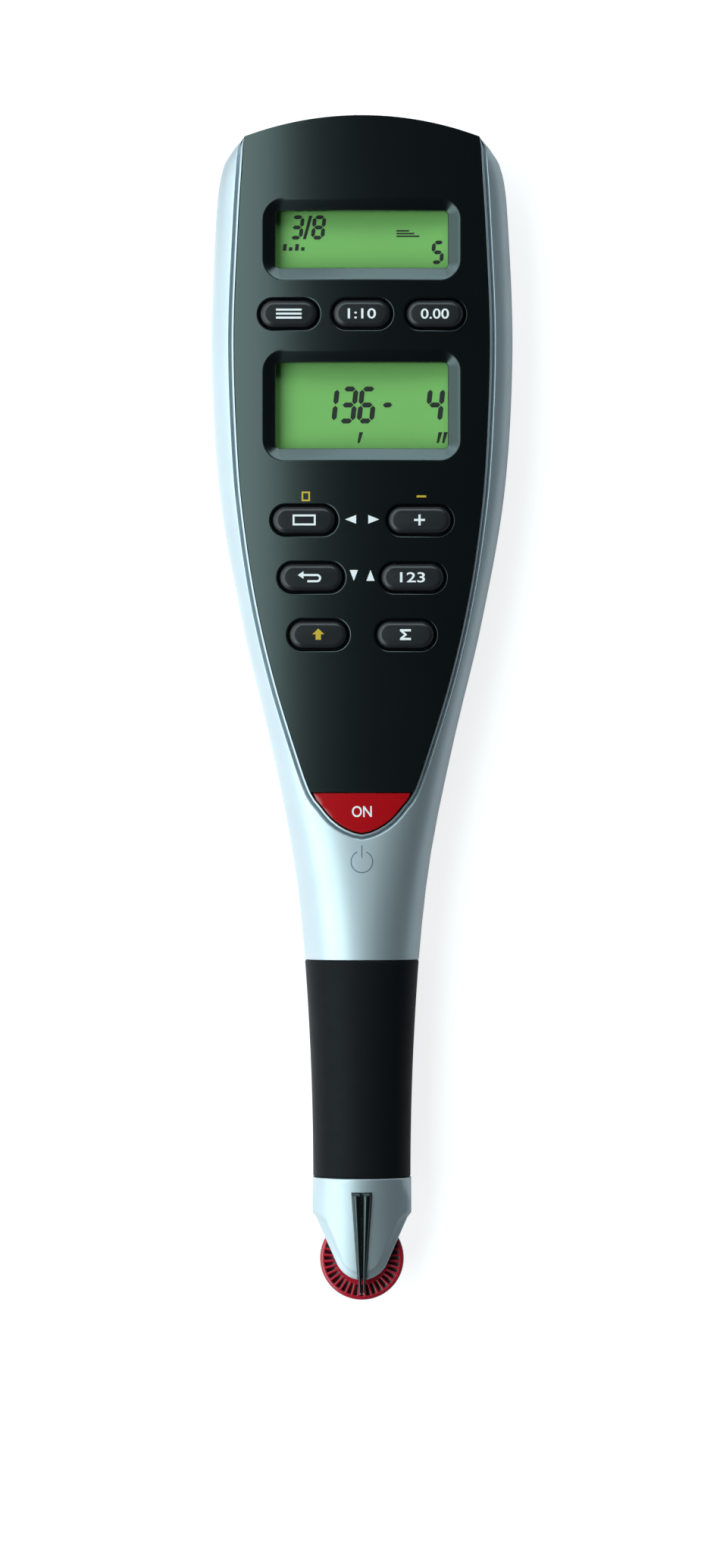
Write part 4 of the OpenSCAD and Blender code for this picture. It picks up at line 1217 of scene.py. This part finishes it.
def text_shape(name, words, x, y, w, h):
    """Flat letters that fill a box round a middle point."""
    bpy.ops.object.select_all(action="DESELECT")
    bpy.ops.object.text_add()
    piece = bpy.context.object
    piece.name = name
    piece.data.body = words
    piece.data.offset = text_weight
    piece.data.resolution_u = text_steps
    bpy.ops.object.convert(target="MESH")
    piece = bpy.context.object
    for axis, (middle, size) in enumerate(((x, w), (y, h))):
        places = [v.co[axis] for v in piece.data.vertices]
        low = min(places)
        reach = max(places) - low
        for v in piece.data.vertices:
            v.co[axis] = middle + ((v.co[axis] - low) / reach - 0.5) * size
    for v in piece.data.vertices:
        v.co.z = 0
    face_up(piece)
    return piece


def box_loop(x, y, w, h):
    return [(x - w / 2, y - h / 2), (x + w / 2, y - h / 2), (x + w / 2, y + h / 2), (x - w / 2, y + h / 2)]


def shifted(loops, x, y):
    return [[(x + px, y + py) for px, py in loop] for loop in loops]


def arc_points(r, start, stop, steps):
    angles = [math.radians(blend_of(start, stop, step / steps)) for step in range(steps + 1)]
    return [(r * math.cos(a), r * math.sin(a)) for a in angles]


bars = [box_loop(0, bar_y, 4.0, 0.32) for bar_y in (0.62, 0, -0.62)]
plus = [(-0.85, -0.17), (-0.17, -0.17), (-0.17, -0.85), (0.17, -0.85), (0.17, -0.17), (0.85, -0.17),
        (0.85, 0.17), (0.17, 0.17), (0.17, 0.85), (-0.17, 0.85), (-0.17, 0.17), (-0.85, 0.17)]
outer_bend, inner_bend = shifted([arc_points(0.65, 80, -90, 10), arc_points(0.32, -90, 80, 8)], 0.9, -0.13)
return_arrow = [(-2.1, 0.35), (-1.2, 0.95), (-1.2, 0.52), (0.9, 0.52)] + outer_bend
return_arrow += [(-0.6, -0.78), (-0.6, -0.45)] + inner_bend
return_arrow += [(0.9, 0.18), (-1.2, 0.18), (-1.2, -0.25)]
up_arrow = [(0, 0.95), (-0.95, 0.05), (-0.42, 0.05), (-0.42, -0.8), (0.42, -0.8), (0.42, 0.05), (0.95, 0.05)]
sum_sign = [(-0.85, 0.85), (0.85, 0.85), (0.85, 0.5), (-0.3, 0.5), (0.28, 0), (-0.3, -0.5), (0.85, -0.5),
            (0.85, -0.85), (-0.85, -0.85), (-0.85, -0.55), (-0.2, 0), (-0.85, 0.55)]
sign_loops = {
    "left_top_key": bars, "area_key": [box_loop(0, 0, 3.6, 1.7), box_loop(0, 0, 3.0, 1.1)],
    "memory_key": [plus], "recall_key": [return_arrow], "shift_key": [up_arrow], "subtotal_key": [sum_sign],
}
# Number and width of the legends in figures
number_legends = {"middle_top_key": ("1:10", 4.4), "right_top_key": ("0.00", 4.4), "count_key": ("123", 3.9)}


def cap_top(key):
    """Height of the ink on a key, the same all over its cap."""
    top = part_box(key)[1].z / mm + ink_lift
    return lambda point: top


white_ink = ink_of("white_ink", white_colour, white_shade)
yellow_ink = ink_of("yellow_ink", yellow_colour, yellow_shade)
for key, (key_x, key_y, _) in key_plan.items():
    if key in sign_loops:
        legend = flat_fill(key + "_legend", shifted(sign_loops[key], key_x, key_y))
    else:
        words, wide = number_legends[key]
        legend = text_shape(key + "_legend", words, key_x, key_y, wide, legend_h)
    ink = yellow_ink if key == "shift_key" else white_ink
    printed(legend, cap_top(key), ink, key + "_body", "key_plastic")


def on_crown(point):
    return crown_at(point.x) + ink_lift


on_legend = text_shape("on_legend", "ON", *on_box)
printed(on_legend, on_crown, white_ink, "on_key_body", "red_key_plastic")
arrows = [
    [(-2.6, 29.6), (-0.9, 28.92), (-0.9, 30.28)], [(2.7, 29.6), (1.0, 30.28), (1.0, 28.92)],
    [(-1.25, 20.0), (-0.61, 21.7), (-1.89, 21.7)], [(1.35, 21.7), (0.71, 20.0), (1.99, 20.0)],
]
printed(flat_fill("arrow_marks", arrows), on_crown, white_ink, "case", "gloss_black")
second_y = 33.2
second_marks = [box_loop(-8.75, second_y, 1.3, 1.5), box_loop(-8.75, second_y, 0.8, 1)]
second_marks.append(box_loop(9.3, second_y, 1.5, 0.32))
printed(flat_fill("second_marks", second_marks), on_crown, yellow_ink, "case", "gloss_black")

# Power mark: a fine dark line laid on the neck under the red key, a ring that is open at the top with a bar
# in the gap.
# Its dark colour is painted shade, standing in for the shade inside an engraved line.
power_y = -23.85
power_r = 1.69
power_line = 0.15
gap_angle = 24
power_steps = 40
bar_middle = 1.62
bar_len = 1.95
groove_shade_colour = (0.10, 0.13, 0.16, 1)
groove_shade_tone = (0.08, 0.11, 0.14, 1)
ring_loop = arc_points(power_r + power_line / 2, 90 + gap_angle, 450 - gap_angle, power_steps)
ring_loop += arc_points(power_r - power_line / 2, 450 - gap_angle, 90 + gap_angle, power_steps)
power_loops = shifted([ring_loop, box_loop(0, bar_middle, power_line, bar_len)], 0, power_y)


def on_shell(point):
    return shell_point(shell_angle(point.x, point.y), point.y).z + ink_lift


# Painted shade: the mark's dark colour stands for the shade inside an engraved line
power_groove_shade = ink_of("power_groove_shade", groove_shade_colour, groove_shade_tone)
printed(flat_fill("power_mark", power_loops), on_shell, power_groove_shade, "case", "silver_paint")

# Floor: a plain white table that keeps a soft shadow of the instrument.
# For mirrored rays it glows on the left and is dim on the right and past the
# head: a painted reflection that darkens the instrument's right-hand edges as a studio's side light would,
# and from below it can't be seen.
floor_size = 8
floor_z = -0.00002
floor_colour = (0.5, 0.5, 0.5, 1)
floor_roughness = 0.9
white = (1, 1, 1, 1)
shown_glow = 0.78
bright_glow = 0.9
right_glow = 0.18
head_glow = 0.2
glow_sides = (-0.02, 0.02)
glow_ends = (0.066, 0.09)
bpy.ops.object.select_all(action="DESELECT")
bpy.ops.mesh.primitive_plane_add(size=floor_size, location=(0, 0, floor_z))
floor = bpy.context.object
floor.name = "floor"
floor_paper = bpy.data.materials.new("floor_paper")
floor_paper.use_nodes = True
floor_tree = floor_paper.node_tree
floor_shader = floor_tree.nodes["Principled BSDF"]
floor_shader.inputs["Base Color"].default_value = floor_colour
floor_shader.inputs["Roughness"].default_value = floor_roughness
floor_shader.inputs["Specular IOR Level"].default_value = 0
floor_shader.inputs["Emission Color"].default_value = white
rays = floor_tree.nodes.new("ShaderNodeLightPath").outputs
mirrored = math_of(floor_tree, "MAXIMUM", rays["Is Glossy Ray"], rays["Is Transmission Ray"])
shown = math_of(floor_tree, "MAXIMUM", rays["Is Camera Ray"], mirrored)
floor_place = floor_tree.nodes.new("ShaderNodeTexCoord").outputs["Object"]
# Painted reflection: the glow in mirrored rays is bright on the left and dim on the right and past the head
side_glow = ramp_of(floor_tree, axis_of(floor_tree, floor_place, "X"), *glow_sides, bright_glow, right_glow)
end_glow = ramp_of(floor_tree, axis_of(floor_tree, floor_place, "Y"), *glow_ends, bright_glow, head_glow)
mirrored_glow = math_of(floor_tree, "MINIMUM", side_glow, end_glow)
glow = ramp_of(floor_tree, mirrored, 0, 1, shown_glow, mirrored_glow)
feed(floor_tree, floor_shader.inputs["Emission Strength"], glow)
clear = floor_tree.nodes.new("ShaderNodeBsdfTransparent")
underside = floor_tree.nodes.new("ShaderNodeNewGeometry").outputs["Backfacing"]
floor_mix = floor_tree.nodes.new("ShaderNodeMixShader")
feed(floor_tree, floor_mix.inputs["Fac"], math_of(floor_tree, "SUBTRACT", shown, underside))
feed(floor_tree, floor_mix.inputs[1], clear.outputs["BSDF"])
feed(floor_tree, floor_mix.inputs[2], floor_shader.outputs["BSDF"])
feed(floor_tree, floor_tree.nodes["Material Output"].inputs["Surface"], floor_mix.outputs["Shader"])
floor.data.materials.append(floor_paper)

# Light: a dim room that is bright at the left, with one long soft lamp over the
# left edge of the instrument and a bank of soft lamps round its left and far side.
# The camera sees the room as plain white.
bright_side = (-0.97, 0.24, 0)
side_fade = (-0.3, 0.9)
rise_fade = (0.12, 0.55)
dark_horizon = (0.1, 0.135, 0.155, 1)
bright_horizon = (1.45, 1.58, 1.64, 1)
zenith = (0.02, 0.026, 0.03, 1)
softbox_place = (-0.43, 0, 0.93)
softbox_size = (1.3, 0.34)
softbox_power = 4.2
softbox_colour = (0.84, 1, 0.98)
bank_reach = 0.8
bank_z = 0.68
bank_size = (0.5, 0.4)
bank_colour = (0.81, 0.96, 1)
# Power of each lamp of the bank, by its turn in degrees from the right
bank_powers = {80: 2.6, 115: 2.2, 150: 1.6, 185: 2.3, 220: 2.3}
bpy.context.scene.view_settings.view_transform = "Standard"
studio = bpy.data.worlds.new("studio")
studio.use_nodes = True
sky_tree = studio.node_tree
sky_place = sky_tree.nodes.new("ShaderNodeTexCoord").outputs["Generated"]
sky_side = sky_tree.nodes.new("ShaderNodeVectorMath")
sky_side.operation = "DOT_PRODUCT"
feed(sky_tree, sky_side.inputs[0], sky_place)
feed(sky_tree, sky_side.inputs[1], bright_side)
side_share = ramp_of(sky_tree, sky_side.outputs["Value"], *side_fade, 0, 1, "SMOOTHSTEP")
rise_share = ramp_of(sky_tree, axis_of(sky_tree, sky_place, "Z"), *rise_fade, 0, 1, "SMOOTHSTEP")
sky = mix_of(sky_tree, rise_share, mix_of(sky_tree, side_share, dark_horizon, bright_horizon), zenith)
seen = sky_tree.nodes.new("ShaderNodeLightPath").outputs["Is Camera Ray"]
feed(sky_tree, sky_tree.nodes["Background"].inputs["Color"], mix_of(sky_tree, seen, sky, white))
bpy.context.scene.world = studio


def soft_lamp(name, place, size, power, colour):
    """A rectangular lamp that faces the instrument."""
    lamp = bpy.data.lights.new(name, "AREA")
    lamp.shape = "RECTANGLE"
    lamp.size, lamp.size_y = size
    lamp.energy = power
    lamp.color = colour
    holder = bpy.data.objects.new(name, lamp)
    holder.location = place
    aim = Vector() - Vector(place)
    holder.rotation_euler = aim.to_track_quat("-Z", "Y").to_euler()
    holder.visible_camera = False
    bpy.context.scene.collection.objects.link(holder)


soft_lamp("left_softbox", softbox_place, softbox_size, softbox_power, softbox_colour)
for turn, power in bank_powers.items():
    side = math.radians(turn)
    place = (bank_reach * math.cos(side), bank_reach * math.sin(side), bank_z)
    soft_lamp(f"bank_{turn}", place, bank_size, power, bank_colour)

# Camera: straight above, as in the photograph, with a long lens.
# Its field is the height of the picture at the level of the faceplate.
camera_field = 0.2447
camera_lens = 180
camera_film = 36
camera_x = 0.00018
camera_y = -0.0117
face_z = 0.016
camera_data = bpy.data.cameras.new("camera")
camera_data.lens = camera_lens
camera_data.sensor_width = camera_film
camera = bpy.data.objects.new("camera", camera_data)
camera.location = (camera_x, camera_y, face_z + camera_field * camera_lens / camera_film)
bpy.context.scene.collection.objects.link(camera)
bpy.context.scene.camera = camera
